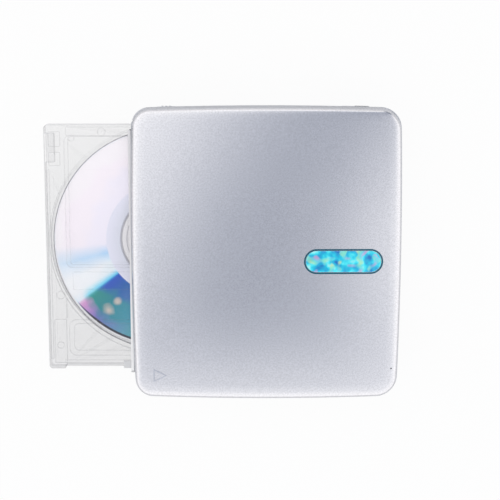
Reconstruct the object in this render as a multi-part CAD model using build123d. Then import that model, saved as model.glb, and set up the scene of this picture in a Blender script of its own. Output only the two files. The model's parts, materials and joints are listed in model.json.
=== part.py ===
"""Portable minidisc player with a half-inserted disc cartridge.

Row frame: origin at the centre of the underside, +X towards the lid's hinge side, +Y towards the
side with the jack, +Z up. All sizes are in millimetres.
"""
from build123d import *
import math
import os

os.makedirs("parts", exist_ok=True)

# ---- Case ------------------------------------------------------------------------------------
BODY_X = 79.0                 # widest line of the case, across the cartridge's way in
BODY_Y = 86.5
SIDE_BOW = 0.7                # each side bows outward by this much
CORNER_RADIUS = 6.3             # at the hinge side
SLOT_CORNER_RADIUS = 5.2        # at the slot side
PARTING_Z = 12.0              # widest line, where the lid meets the base
PARTING_GAP = 0.15
LID_EDGE_Z = 16.7
LID_CROWN_Z = 17.3
LID_TOP_INSET = 0.55          # draft of the lid's wall
LID_EDGE_RADIUS = 1.0
LID_INNER_Z = 16.0
WALL = 1.1
BASE_INSET = 1.3              # draft of the base's wall
COVER_THICKNESS = 1.0
COVER_INSET = 0.9
COVER_EDGE_RADIUS = 0.4
WALL_CUT = 4.0                # depth of a cut that goes through a wall

# ---- Hinge on the +X side ---------------------------------------------------------------------
HINGE_X = 36.2
HINGE_Z = 12.4
HINGE_POST_BOTTOM = 8.6
HINGE_WEB = (2.2, 10.8)       # reach past the pin towards the wall, and top
PIN_RADIUS = 0.7
RUNNING_GAP = 0.05
LUG_RADIUS = 1.3
LUG_WIDTH = 1.0
LUG_GAP = 0.15
HOLDER_LUG_Y = 34.5           # inner face of the holder's arm, the same on both sides
LID_LUG_Y = HOLDER_LUG_Y + LUG_WIDTH + LUG_GAP
BASE_LUG_Y = LID_LUG_Y + LUG_WIDTH + LUG_GAP
LID_SWING = 14.0              # degrees
RELIEF_ANGLE = LID_SWING + 2.0

# ---- Cartridge and disc -----------------------------------------------------------------------
CARTRIDGE_X = 68.0
CARTRIDGE_Y = 72.0
CARTRIDGE_Z = 5.0
CARTRIDGE_WEST = -64.1
CARTRIDGE_SOUTH = -34.2
CARTRIDGE_BOTTOM = 9.4
CARTRIDGE_CORNER = 1.0
CARTRIDGE_CHAMFER = 0.25
CARTRIDGE_SKIN = 0.8
CARTRIDGE_MIDDLE = CARTRIDGE_BOTTOM + CARTRIDGE_Z / 2
CARTRIDGE_TOP = CARTRIDGE_BOTTOM + CARTRIDGE_Z
CARTRIDGE_EAST = CARTRIDGE_WEST + CARTRIDGE_X
CARTRIDGE_NORTH = CARTRIDGE_SOUTH + CARTRIDGE_Y
TRAVEL_IN = 26.1              # from the shown place to the playing place
DISC_RADIUS = 32.0
DISC_THICKNESS = 1.2
DISC_GAP = 0.8                # clear ring round the disc in its well
DISC_INSET = (34.0, 33.4)     # disc's centre from the trailing and the far edge
DISC_X = CARTRIDGE_WEST + DISC_INSET[0]
DISC_Y = CARTRIDGE_NORTH - DISC_INSET[1]
DISC_BOTTOM = CARTRIDGE_MIDDLE - DISC_THICKNESS / 2
HUB_HOLE = 8.6
HUB_RADIUS = 7.2
HUB_PLATE_RADIUS = 5.6
WINDOW_WIDTH = 16.4
WINDOW_REACH = 31.4           # outer end of the pickup's window from the disc's centre
SHUTTER_WIDTH = 24.0
SHUTTER_SHEET = 0.3
SHUTTER_RECESS = 0.45
SHUTTER_TRAVEL = 17.0
SHUTTER_REACH = 29.5          # length of the shutter's lower leaf
SHUTTER_LIP = 2.3
SHUTTER_LEAF_WIDTH = 17.8     # of the lower leaf, which closes the pickup's window
TRACK_DEPTH = 0.7             # edge recess that the shutter's back runs in
TRACK_PLAY = 0.3
SLOT_PLAY = 1.2               # gap in the wall past the cartridge's edges
SLOT_BOTTOM = 8.7
GRIP_X = (1.2, 2.6)           # grip groove, from the trailing edge
GRIP_Y = (-31.0, 24.5)
GRIP_DEPTH = 0.25
LABEL_X = (6.0, 59.0)         # label field, from the trailing edge
LABEL_Y = (-7.9, 20.5)        # and from the disc's centre
LABEL_DEPTH = 0.2
LABEL_CORNER = 1.5
TAB_SIZE = (2.4, 5.0, 2.2)

# ---- Spindle ----------------------------------------------------------------------------------
SPINDLE_X = DISC_X + TRAVEL_IN
SPINDLE_Y = DISC_Y
TURNTABLE_TOP = 9.15
TURNTABLE_RADIUS = 7.0
ROTOR_RADIUS = 8.2
ROTOR_TOP = 7.0
ROTOR_BOTTOM = 3.6
ROTOR_WALL = 0.7
SHAFT_RADIUS = 0.75
STATOR_RADIUS = 8.6
STATOR_TOP = 1.8
BEARING_RADIUS = 2.1
COIL_COUNT = 6
COIL_RING = (3.0, 6.6)
COIL_TOP = 3.2
COIL_HALF_WIDTH = 1.3
MAGNET_RING = (3.0, 5.9)
MAGNET_DEPTH = 0.6             # its groove in the turntable
MAGNET_THICKNESS = 0.5
HUB_CUP = (1.9, 1.5, 0.4)      # radius at the rim and at the bottom, depth

# ---- Pickup drive -----------------------------------------------------------------------------
LENS_START = 14.5             # lens to spindle, sled at its inner stop
SLED_TRAVEL = 16.5
LENS_Y = SPINDLE_Y - LENS_START
SLED_X = (-17.4, 9.2)
SLED_Y = (LENS_Y - 9.9, LENS_Y + 4.9)
SLED_Z = (3.5, 7.4)
ROD_RADIUS = 0.8
ROD_X = (-15.4, 7.4)
ROD_Y = (-37.6, -1.7)
ROD_Z = 5.4
LENS_RADIUS = 2.0
LENS_TOP = 8.75
BOSS_RADIUS = 3.1
PRESSURE_ANGLE = math.radians(20)
BACKLASH = 0.07
RACK_MODULE = 0.4
RACK_PITCH_X = -19.3
RACK_TEETH = 18
RACK_Z = (3.9, 5.2)
PINION_TEETH = 12
PINION_RADIUS = RACK_MODULE * PINION_TEETH / 2
GEAR_X = RACK_PITCH_X - PINION_RADIUS - 0.03
GEAR_Y = SLED_Y[0] + 1.6
WHEEL_MODULE = 0.3
WHEEL_TEETH = 36
WHEEL_Z = (1.9, 2.9)
MOTOR_TEETH = 10
MOTOR_X = GEAR_X - WHEEL_MODULE * (WHEEL_TEETH + MOTOR_TEETH) / 2 - 0.03
MOTOR_RADIUS = 3.8
MOTOR_Z = (3.3, 7.4)
POST_RADIUS = 0.6
STUB_ADDENDUM = 0.62          # large wheel and rack, in modules, so small pinions need no undercut
FULL_ADDENDUM = 0.9
DEDENDUM = 1.15
WHEEL_HOLES = (5, 3.7, 0.75)   # count, pitch radius and radius of the lightening holes
MOTOR_SHAFT_RADIUS = 0.4
MOTOR_EAR = (5.4, 1.5, 0.8)    # reach, half width and thickness
LENS_DOME_RADIUS = 3.2

# ---- Decks and boards -------------------------------------------------------------------------
DECK_Z = (7.95, 8.45)
DECK_INSET = 3.0
DECK_WINDOWS = (((-26.0, 9.0), (22.5, 31.5)), ((-33.5, -25.4), (-13.0, 20.0)))
DECK_WINDOW_CORNER = 2.5
DECK_HINGE_GAP = (3.0, 0.5)    # room round the hinge lugs
SLED_WINDOW_PLAY = (3.0, 0.8)
CLAMP = (0.9, 1.3, 4.2)        # rod clamp: thickness, half width, bottom
BOARD_Z = (2.2, 3.0)
BOARD_NORTH = ((-33.0, 13.6), (15.0, 40.0))
BOARD_WEST = ((-33.0, -26.5), (-10.0, 18.0))
BOARD_HOLES = ((-31.0, 38.0), (11.0, 37.0))
BOARD_HOLE_RADIUS = 0.8
CHIP_PLACES = (                # centre and size
    (-24.0, 27.0, 9.0, 9.0), (-10.0, 26.0, 7.0, 7.0), (4.0, 29.0, 6.0, 8.0),
    (-30.0, 8.0, 4.0, 5.0), (-30.0, -3.0, 3.4, 6.0), (-12.0, 36.0, 8.0, 3.0))
CHIP_HEIGHT = 1.3

# ---- Battery side -----------------------------------------------------------------------------
CELL_X = (15.6, 32.6)
CELL_Y = (-40.0, 27.0)
CELL_Z = (1.5, 7.6)
CELL_RADIUS = 1.2
SLEEVE = 0.35
SLEEVE_GAP = 0.1
DOOR_X = (14.9, 33.3)
DOOR_Z = (1.8, 8.3)
DOOR_GAP = 0.2
DOOR_PIVOT_Y = -41.2
DOOR_PIVOT_Z = 2.4
DOOR_PIN_RADIUS = 0.35
DOOR_LIP_Z = 1.25

# ---- Sockets on the +Y side --------------------------------------------------------------------
JACK_X = 27.8
JACK_Z = 5.2
JACK_BORE = 1.8
JACK_COLLAR = 2.9
JACK_Y = (28.4, 40.4)
JACK_BLIND = 1.0
REMOTE_X = 19.4
REMOTE_SIZE = (6.0, 1.8)
REMOTE_Y = (34.0, 40.6)

# ---- Controls ---------------------------------------------------------------------------------
BUTTON_NAMES = ("previous_button", "play_button", "next_button",
                "stop_button", "volume_down_button", "volume_up_button")
BUTTON_FIRST_X = -30.0
BUTTON_PITCH = 7.2
BUTTON_SIZE = (5.2, 3.0)
BUTTON_Z = 5.7
BUTTON_PROUD = 0.45
BUTTON_TRAVEL = 0.35
BUTTON_GAP = 0.15
BUTTON_FLANGE = 0.6
KNOB_Z = (9.7, 11.4)
KNOB_PROUD = 0.1
KNOB_SUNK = 0.25                # back of its cap, inside the wall's face
KNOB_POCKET = 0.4               # depth of the bed that it slides in
KNOB_SLOT_END = 1.4            # slot ends this far inside the knob's ends
KNOB_SLOT_LIP = 0.3
KNOB_STEM_PLAY = 0.15
KNOB_PLATE = (1.0, 0.35)       # retaining plate, behind the wall's inner face
HOLD_MARK_PROUD = 0.2
HOLD_MARK_SEAT = 0.05
HOLD_MARK_LENGTH = 4.2
KNOB_GAP = 0.15
HOLD_X = (21.7, 29.6)
HOLD_TRAVEL = 1.8
OPEN_X = (-31.6, -26.4)
OPEN_TRAVEL = 2.5
RIDGE_COUNT = 3

# ---- Disc holder ------------------------------------------------------------------------------
SHEET = 0.4
HOLDER_GAP = 0.2
HOLDER_X = (-37.3, 32.6)
HOLDER_TOP = CARTRIDGE_TOP + HOLDER_GAP + SHEET
HOLDER_LIP_REACH = 2.2
LIP_X = (-39.6, -37.3)
LIP_TOP = 15.15

# ---- Lid pieces -------------------------------------------------------------------------------
LID_FRAME_Z = (15.55, LID_INNER_Z)
BADGE_X = 22.3
BADGE_Y = -1.5
BADGE_SIZE = (23.0, 7.4)
BADGE_RIM = 0.5
BADGE_POCKET_Z = 16.45
BADGE_RIM_PROUD = 0.08         # above the lid's crown
BADGE_LENS_PROUD = 0.16
BADGE_LENS_ROUND = 0.4
BADGE_FIT = 0.02

# ---- Fasteners and small parts ----------------------------------------------------------------
SCREW_PLACES = ((35.7, -35.8), (35.7, 33.0), (-35.4, 36.4), (-35.4, -35.8), (-35.9, 2.0))
SCREW_HEAD_RADIUS = 1.4
SCREW_HEAD = 0.55
SCREW_RADIUS = 0.65
SCREW_TOP = 4.4
SCREW_BOSS_RADIUS = 1.5
SCREW_BOSS_TOP = 5.2
SCREW_SUNK = 0.05
SCREW_RECESS = (0.5, 0.35)     # radius and depth of the driver recess
MOUNT_PLACES = ((-31.0, 30.0), (-31.0, -27.0), (11.8, -34.0))
MOUNT_RADIUS = 1.8
MOUNT_BOTTOM = 6.2
MOUNT_EDGE = 0.3
POST_PLACES = ((-29.0, 26.0), (12.0, 33.0), (-30.0, -29.0))
SUPPORT_RADIUS = 1.3
SUPPORT_TOP = 9.15
CONTACT_PLACES = ((-6.0, -30.0), (2.0, -30.0))
CONTACT_SIZE = (3.0, 2.0)
CONTACT_CORNER = 0.5
CONTACT_GAP = 0.1
CONTACT_Z = (0.15, 1.2)
SWITCH_X = (-22.5, -17.5)
SWITCH_Y = (33.9, 36.4)
SWITCH_HEIGHT = 0.35
SWITCH_PLUNGER = (0.6, 9.1)    # radius and top


def block(x_range, y_range, z_range):
    """Box between three pairs of coordinates."""
    sizes = [high - low for low, high in (x_range, y_range, z_range)]
    middles = [(high + low) / 2 for low, high in (x_range, y_range, z_range)]
    return Pos(*middles) * Box(*sizes)


def post(x, y, radius, z_range):
    """Upright cylinder."""
    height = z_range[1] - z_range[0]
    return Pos(x, y, z_range[0] + height / 2) * Cylinder(radius, height)


def pin_along_y(x, z, radius, y_range):
    """Cylinder whose axis is parallel to Y."""
    length = y_range[1] - y_range[0]
    return Pos(x, y_range[0] + length / 2, z) * Rot(90, 0, 0) * Cylinder(radius, length)


def pin_along_x(y, z, radius, x_range):
    """Cylinder whose axis is parallel to X."""
    length = x_range[1] - x_range[0]
    return Pos(x_range[0] + length / 2, y, z) * Rot(0, 90, 0) * Cylinder(radius, length)


def outline(inset, z):
    """Bowed rectangle with round corners, the given distance inside the case's widest line."""
    side_x = BODY_X / 2 - inset
    side_y = BODY_Y / 2 - inset
    corner_x = side_x - SIDE_BOW
    corner_y = side_y - SIDE_BOW
    sides = [
        ThreePointArc((corner_x, -corner_y), (side_x, 0), (corner_x, corner_y)),
        ThreePointArc((corner_x, corner_y), (0, side_y), (-corner_x, corner_y)),
        ThreePointArc((-corner_x, corner_y), (-side_x, 0), (-corner_x, -corner_y)),
        ThreePointArc((-corner_x, -corner_y), (0, -side_y), (corner_x, -corner_y)),
    ]
    face = make_face(sides)
    face = fillet(face.vertices().group_by(Axis.X)[-1], CORNER_RADIUS - inset)
    slot_corners = face.vertices().group_by(Axis.X)[0]
    return Pos(0, 0, z) * fillet(slot_corners, SLOT_CORNER_RADIUS - inset)


def drafted(low_inset, low_z, high_inset, high_z):
    """Solid between two of the case's outlines."""
    return loft([outline(low_inset, low_z), outline(high_inset, high_z)], ruled=True)


def wall_y(x, z):
    """Distance of the base's outer wall from the XZ plane, at one place."""
    bow = SIDE_BOW * (x / (BODY_X / 2 - SIDE_BOW)) ** 2
    inset = BASE_INSET * (PARTING_Z - z) / (PARTING_Z - COVER_THICKNESS)
    return BODY_Y / 2 - bow - inset


def rounded_slab(x_range, y_range, z_range, radius):
    """Box with its four upright edges rounded."""
    slab = block(x_range, y_range, z_range)
    return fillet(slab.edges().filter_by(Axis.Z), radius)


# ---- Base: case pieces ------------------------------------------------------------------------
def base_wall():
    """Drafted ring between the outer and inner wall of the base."""
    outer = drafted(BASE_INSET, COVER_THICKNESS, 0, PARTING_Z)
    inner = drafted(BASE_INSET + WALL, COVER_THICKNESS, WALL, PARTING_Z)
    return outer - inner


def contact_shape(place, grow, z_range):
    """Upright pad at one charging contact."""
    half_x = CONTACT_SIZE[0] / 2 + grow
    half_y = CONTACT_SIZE[1] / 2 + grow
    x_range = (place[0] - half_x, place[0] + half_x)
    return rounded_slab(x_range, (place[1] - half_y, place[1] + half_y), z_range, CONTACT_CORNER + grow)


def bottom_cover():
    """Underside plate with round lower edges and counterbored screw holes."""
    plate = drafted(BASE_INSET + COVER_INSET, 0, BASE_INSET, COVER_THICKNESS)
    plate = fillet(plate.edges().group_by(Axis.Z)[0], COVER_EDGE_RADIUS)
    for x, y in SCREW_PLACES:
        plate -= post(x, y, SCREW_HEAD_RADIUS + RUNNING_GAP, (0, SCREW_HEAD))
        plate -= post(x, y, SCREW_RADIUS + RUNNING_GAP, (0, COVER_THICKNESS))
    for place in CONTACT_PLACES:
        plate -= contact_shape(place, CONTACT_GAP, (0, COVER_THICKNESS))
    return plate


def cartridge_notch(z_range):
    """Gap in a west wall that the cartridge passes."""
    y_range = (CARTRIDGE_SOUTH - SLOT_PLAY, CARTRIDGE_NORTH + SLOT_PLAY)
    return block((-BODY_X / 2 - 1, -BODY_X / 2 + WALL_CUT), y_range, z_range)


def side_frame():
    """Base wall with the disc slot, socket and control openings, screw bosses and hinge posts."""
    frame = base_wall()
    for x, y in SCREW_PLACES:
        frame += post(x, y, SCREW_BOSS_RADIUS, (COVER_THICKNESS, SCREW_BOSS_TOP))
        frame -= post(x, y, SCREW_RADIUS, (COVER_THICKNESS, SCREW_TOP))
    for side in (-1, 1):
        lug_y = sorted((side * BASE_LUG_Y, side * (BASE_LUG_Y + LUG_WIDTH)))
        frame += block((HINGE_X - LUG_RADIUS, HINGE_X + LUG_RADIUS), lug_y, (HINGE_POST_BOTTOM, HINGE_Z))
        web_x = (HINGE_X - LUG_RADIUS, HINGE_X + HINGE_WEB[0])
        frame += block(web_x, lug_y, (HINGE_POST_BOTTOM, HINGE_WEB[1]))
        frame += pin_along_y(HINGE_X, HINGE_Z, LUG_RADIUS, lug_y)
        frame -= pin_along_y(HINGE_X, HINGE_Z, PIN_RADIUS, lug_y)
    frame -= cartridge_notch((SLOT_BOTTOM, PARTING_Z + 1))
    frame -= block(
        (DOOR_X[0] - DOOR_GAP, DOOR_X[1] + DOOR_GAP), (-BODY_Y, -BODY_Y / 2 + WALL_CUT),
        (DOOR_LIP_Z, DOOR_Z[1] + DOOR_GAP))
    frame -= door_pins()
    frame -= pin_along_y(JACK_X, JACK_Z, JACK_COLLAR, (BODY_Y / 2 - WALL_CUT, BODY_Y))
    frame -= remote_shape(REMOTE_SIZE[0] + 2.0, REMOTE_SIZE[1] + 2.0, (BODY_Y / 2 - WALL_CUT, BODY_Y))
    for place in range(len(BUTTON_NAMES)):
        frame -= button_shape(place, BUTTON_GAP, (-BODY_Y, -BODY_Y / 2 + WALL_CUT))
    for x_range, travel in ((HOLD_X, (-HOLD_TRAVEL, 0)), (OPEN_X, (0, OPEN_TRAVEL))):
        slot_x = (x_range[0] + KNOB_SLOT_END + travel[0], x_range[1] - KNOB_SLOT_END + travel[1])
        slot_z = (KNOB_Z[0] + KNOB_SLOT_LIP, KNOB_Z[1] - KNOB_SLOT_LIP)
        frame -= block(slot_x, (BODY_Y / 2 - WALL_CUT, BODY_Y), slot_z)
        bed_x = (x_range[0] - KNOB_GAP + travel[0], x_range[1] + KNOB_GAP + travel[1])
        bed_z = (KNOB_Z[0] - KNOB_GAP, KNOB_Z[1] + KNOB_GAP)
        frame -= wall_skin(-KNOB_POCKET, WALL) & block(bed_x, (0, BODY_Y), bed_z)
    return frame


def case_screws():
    """Five screws that hold the bottom cover."""
    screws = []
    for x, y in SCREW_PLACES:
        screw = post(x, y, SCREW_HEAD_RADIUS, (SCREW_SUNK, SCREW_HEAD))
        screw += post(x, y, SCREW_RADIUS, (SCREW_HEAD, SCREW_TOP))
        screw -= post(x, y, SCREW_RECESS[0], (0, SCREW_RECESS[1]))
        screws.append(screw)
    return Compound(screws)


def charge_contacts():
    """Two contact pads in the underside."""
    return Compound([contact_shape(place, 0, CONTACT_Z) for place in CONTACT_PLACES])


def hinge_pins():
    """One pin on each side carries the lid and the disc holder."""
    pins = []
    for side in (-1, 1):
        y_range = sorted((side * (HOLDER_LUG_Y - 0.2), side * (BASE_LUG_Y + LUG_WIDTH)))
        pins.append(pin_along_y(HINGE_X, HINGE_Z, PIN_RADIUS, y_range))
    return Compound(pins)


# ---- Base: mechanism --------------------------------------------------------------------------
def chassis_plate():
    """Pressed mechanism deck with the pickup's window and rod clamps."""
    deck = extrude(outline(DECK_INSET, DECK_Z[0]), DECK_Z[1] - DECK_Z[0])
    thickness, half_width, bottom = CLAMP
    window_x = (SLED_X[0] - SLED_WINDOW_PLAY[0], SLED_X[1] + SLED_WINDOW_PLAY[1])
    deck -= rounded_slab(window_x, (ROD_Y[0] + thickness, ROD_Y[1] - thickness), (7, 9), 1.0)
    deck -= post(SPINDLE_X, SPINDLE_Y, STATOR_RADIUS + 0.9, (7, 9))
    for x_range, y_range in DECK_WINDOWS:
        deck -= rounded_slab(x_range, y_range, (7, 9), DECK_WINDOW_CORNER)
    for side in (-1, 1):
        lug_y = sorted((side * (HOLDER_LUG_Y - DECK_HINGE_GAP[1]), side * BODY_Y / 2))
        deck -= block((HINGE_X - DECK_HINGE_GAP[0], BODY_X / 2), lug_y, (7, 9))
    for x in ROD_X:
        for clamp_y in ((ROD_Y[0], ROD_Y[0] + thickness), (ROD_Y[1] - thickness, ROD_Y[1])):
            deck += block((x - half_width, x + half_width), clamp_y, (bottom, DECK_Z[1]))
            deck -= pin_along_y(x, ROD_Z, ROD_RADIUS, clamp_y)
    return deck


def shock_mounts():
    """Rubber bushes under the mechanism deck."""
    bushes = []
    for x, y in MOUNT_PLACES:
        bush = post(x, y, MOUNT_RADIUS, (MOUNT_BOTTOM, DECK_Z[0]))
        bush -= post(x, y, MOUNT_RADIUS / 2, (MOUNT_BOTTOM, DECK_Z[0]))
        bushes.append(fillet(bush.edges().group_by(Axis.Z)[0], MOUNT_EDGE))
    return Compound(bushes)


def support_posts():
    """Three studs on the deck that the cartridge comes down on."""
    posts = []
    for x, y in POST_PLACES:
        stud = post(x, y, SUPPORT_RADIUS, (DECK_Z[1], SUPPORT_TOP))
        posts.append(chamfer(stud.edges().group_by(Axis.Z)[-1], 0.2))
    return Compound(posts)


def detect_switch():
    """Small switch on the deck that feels the cartridge."""
    body = block(SWITCH_X, SWITCH_Y, (DECK_Z[1], DECK_Z[1] + SWITCH_HEIGHT))
    radius, top = SWITCH_PLUNGER
    return body + post(sum(SWITCH_X) / 2, sum(SWITCH_Y) / 2, radius, (DECK_Z[1], top))


def guide_rods():
    """Two rods that carry the pickup sled."""
    rods = [pin_along_y(x, ROD_Z, ROD_RADIUS, ROD_Y) for x in ROD_X]
    return Compound(rods)


def main_board():
    """Circuit board round the mechanism."""
    board = rounded_slab(*BOARD_NORTH, BOARD_Z, 1.0) + rounded_slab(*BOARD_WEST, BOARD_Z, 1.0)
    board -= post(SPINDLE_X, SPINDLE_Y, STATOR_RADIUS + 1.2, (1, 4))
    for x, y in BOARD_HOLES:
        board -= post(x, y, BOARD_HOLE_RADIUS, BOARD_Z)
    return board


def board_chips():
    """Processor, amplifier, memory, coil and capacitor blocks on the board."""
    chips = []
    for x, y, width, length in CHIP_PLACES:
        x_range = (x - width / 2, x + width / 2)
        y_range = (y - length / 2, y + length / 2)
        chips.append(block(x_range, y_range, (BOARD_Z[1], BOARD_Z[1] + CHIP_HEIGHT)))
    return Compound(chips)


def spindle_stator():
    """Motor base with its bearing tube."""
    stator = post(SPINDLE_X, SPINDLE_Y, STATOR_RADIUS, (COVER_THICKNESS, STATOR_TOP))
    stator += post(SPINDLE_X, SPINDLE_Y, BEARING_RADIUS, (STATOR_TOP, ROTOR_TOP - 1.2))
    stator -= post(SPINDLE_X, SPINDLE_Y, SHAFT_RADIUS + RUNNING_GAP, (1.4, ROTOR_TOP))
    return stator


def stator_coils():
    """Flat coils round the bearing tube."""
    z_range = (STATOR_TOP, COIL_TOP)
    ring = post(0, 0, COIL_RING[1], z_range) - post(0, 0, COIL_RING[0], z_range)
    coils = []
    for place in range(COIL_COUNT):
        angle = 360 / COIL_COUNT * place
        half = (-COIL_HALF_WIDTH, COIL_HALF_WIDTH)
        wedge = ring & (Rot(0, 0, angle) * block((0, COIL_RING[1] + 1), half, z_range))
        coils.append(Pos(SPINDLE_X, SPINDLE_Y, 0) * wedge)
    return Compound(coils)


def spindle_rotor():
    """Rotor cup, shaft and turntable turned in one profile."""
    points = [
        (0, 1.6), (SHAFT_RADIUS, 1.6), (SHAFT_RADIUS, ROTOR_TOP - 0.9),
        (ROTOR_RADIUS - ROTOR_WALL, ROTOR_TOP - 0.9), (ROTOR_RADIUS - ROTOR_WALL, ROTOR_BOTTOM),
        (ROTOR_RADIUS, ROTOR_BOTTOM), (ROTOR_RADIUS, ROTOR_TOP - 0.4), (ROTOR_RADIUS - 0.4, ROTOR_TOP),
        (TURNTABLE_RADIUS, ROTOR_TOP), (TURNTABLE_RADIUS, TURNTABLE_TOP - 0.3),
        (TURNTABLE_RADIUS - 0.3, TURNTABLE_TOP), (MAGNET_RING[1], TURNTABLE_TOP),
        (MAGNET_RING[1], TURNTABLE_TOP - MAGNET_DEPTH), (MAGNET_RING[0], TURNTABLE_TOP - MAGNET_DEPTH),
        (MAGNET_RING[0], TURNTABLE_TOP), (HUB_CUP[0], TURNTABLE_TOP),
        (HUB_CUP[1], TURNTABLE_TOP - HUB_CUP[2]), (0, TURNTABLE_TOP - HUB_CUP[2]),
    ]
    profile = make_face(Polyline(*[(x, 0, z) for x, z in points], close=True))
    return Pos(SPINDLE_X, SPINDLE_Y, 0) * revolve(profile, Axis.Z)


def turntable_magnet():
    """Ring that holds the disc's steel plate."""
    low = TURNTABLE_TOP - MAGNET_DEPTH
    z_range = (low, low + MAGNET_THICKNESS)
    ring = post(SPINDLE_X, SPINDLE_Y, MAGNET_RING[1], z_range)
    return ring - post(SPINDLE_X, SPINDLE_Y, MAGNET_RING[0], z_range)


# ---- Pickup drive -----------------------------------------------------------------------------
def flank_angle(teeth, module, radius):
    """Half the angle of one involute tooth at a radius."""
    pitch_radius = module * teeth / 2
    base_radius = pitch_radius * math.cos(PRESSURE_ANGLE)
    at_pitch = math.pi / (2 * teeth) - BACKLASH / (4 * pitch_radius)
    here = math.acos(min(1.0, base_radius / radius))
    return at_pitch + math.tan(PRESSURE_ANGLE) - PRESSURE_ANGLE - (math.tan(here) - here)


def gear(teeth, module, addendum, z_range, phase):
    """Spur gear with involute flanks, a tooth centred on the phase angle."""
    pitch_radius = module * teeth / 2
    base_radius = pitch_radius * math.cos(PRESSURE_ANGLE)
    root_radius = pitch_radius - DEDENDUM * module
    tip_radius = pitch_radius + addendum * module
    flank_start = max(base_radius, root_radius)
    radii = (flank_start, (flank_start + tip_radius) / 2, tip_radius)

    def place(radius, angle):
        return (radius * math.cos(angle), radius * math.sin(angle))

    edges = []
    pitch = 2 * math.pi / teeth
    for tooth in range(teeth):
        middle = phase + tooth * pitch
        angles = [flank_angle(teeth, module, radius) for radius in radii]
        rising = [place(radius, middle - angle) for radius, angle in zip(radii, angles)]
        falling = [place(radius, middle + angle) for radius, angle in zip(radii, angles)][::-1]
        root_in = place(root_radius, middle - angles[0])
        root_out = place(root_radius, middle + angles[0])
        next_root = place(root_radius, middle + pitch - angles[0])
        if root_radius < flank_start:
            edges.append(Line(root_in, rising[0]))
        edges.append(ThreePointArc(*rising))
        edges.append(Line(rising[-1], falling[0]))
        edges.append(ThreePointArc(*falling))
        if root_radius < flank_start:
            edges.append(Line(falling[-1], root_out))
        edges.append(Line(root_out, next_root))
    face = make_face(edges)
    return Pos(0, 0, z_range[0]) * extrude(face, z_range[1] - z_range[0])


def feed_gear():
    """Compound gear: a large wheel below the pinion that drives the rack."""
    wheel = gear(WHEEL_TEETH, WHEEL_MODULE, STUB_ADDENDUM, WHEEL_Z, 0)
    count, pitch_radius, radius = WHEEL_HOLES
    for place in range(count):
        wheel -= Rot(0, 0, 360 / count * place) * post(pitch_radius, 0, radius, WHEEL_Z)
    pinion = gear(PINION_TEETH, RACK_MODULE, FULL_ADDENDUM, (WHEEL_Z[1], 5.6), 0)
    both = wheel + pinion
    both -= post(0, 0, POST_RADIUS + RUNNING_GAP, (1, 7))
    return Pos(GEAR_X, GEAR_Y, 0) * both


def motor_pinion():
    """Small pinion on the feed motor's shaft."""
    half_tooth = math.pi / MOTOR_TEETH
    pinion = gear(MOTOR_TEETH, WHEEL_MODULE, FULL_ADDENDUM, (1.8, 3.0), half_tooth)
    pinion -= post(0, 0, MOTOR_SHAFT_RADIUS + RUNNING_GAP, (1, 4))
    return Pos(MOTOR_X, GEAR_Y, 0) * pinion


def feed_motor():
    """Flat feed motor, its shaft pointing down through the pinion."""
    can = post(MOTOR_X, GEAR_Y, MOTOR_RADIUS, MOTOR_Z)
    can = fillet(can.edges().group_by(Axis.Z)[-1], 0.5)
    reach, half_width, thickness = MOTOR_EAR
    ear_y = (GEAR_Y - half_width, GEAR_Y + half_width)
    can += block((MOTOR_X - reach, MOTOR_X), ear_y, (MOTOR_Z[0], MOTOR_Z[0] + thickness))
    return can + post(MOTOR_X, GEAR_Y, MOTOR_SHAFT_RADIUS, (1.2, MOTOR_Z[0]))


def gear_post():
    """Fixed stud that the compound gear turns on."""
    stud = post(GEAR_X, GEAR_Y, POST_RADIUS, (COVER_THICKNESS, 6.0))
    return stud + post(GEAR_X, GEAR_Y, 1.4, (COVER_THICKNESS, WHEEL_Z[0] - 0.1))


def sled_rack():
    """Straight rack on the sled, a gap between teeth facing the pinion."""
    pitch = math.pi * RACK_MODULE
    top = STUB_ADDENDUM * RACK_MODULE
    bottom = DEDENDUM * RACK_MODULE
    slope = math.tan(PRESSURE_ANGLE)
    half = pitch / 4 - BACKLASH / 4
    start_y = GEAR_Y - 1.5 * pitch
    edges_x = RACK_PITCH_X + bottom
    points = [(SLED_X[0], start_y - half - bottom * slope)]
    for tooth in range(RACK_TEETH):
        middle = start_y + tooth * pitch
        points.append((edges_x, middle - half - bottom * slope))
        points.append((RACK_PITCH_X - top, middle - half + top * slope))
        points.append((RACK_PITCH_X - top, middle + half - top * slope))
        points.append((edges_x, middle + half + bottom * slope))
    points.append((SLED_X[0], points[-1][1]))
    face = make_face(Polyline(*points, close=True))
    return Pos(0, 0, RACK_Z[0]) * extrude(face, RACK_Z[1] - RACK_Z[0])


def pickup_sled():
    """Optical block that rides the rods, hollowed round the spindle motor."""
    sled = block(SLED_X, SLED_Y, SLED_Z)
    sled = fillet(sled.edges().filter_by(Axis.Z).group_by(Axis.Y)[0], 1.5)
    sled -= post(SPINDLE_X, SPINDLE_Y, STATOR_RADIUS + 1.4, (1, 9))
    sled -= block((SLED_X[0] + 4.2, SLED_X[0] + 8.4), (SLED_Y[0] + 2.5, SLED_Y[1] - 4.0), (4.4, 9))
    sled += post(SPINDLE_X, LENS_Y, BOSS_RADIUS, (SLED_Z[1], 8.3))
    sled -= post(SPINDLE_X, LENS_Y, LENS_RADIUS, (6.0, 9))
    sled -= pin_along_y(ROD_X[0], ROD_Z, ROD_RADIUS + RUNNING_GAP, SLED_Y)
    guide = ROD_RADIUS + RUNNING_GAP
    sled -= block((ROD_X[1] - guide, SLED_X[1]), SLED_Y, (ROD_Z - guide, ROD_Z + guide))
    return sled


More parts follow.
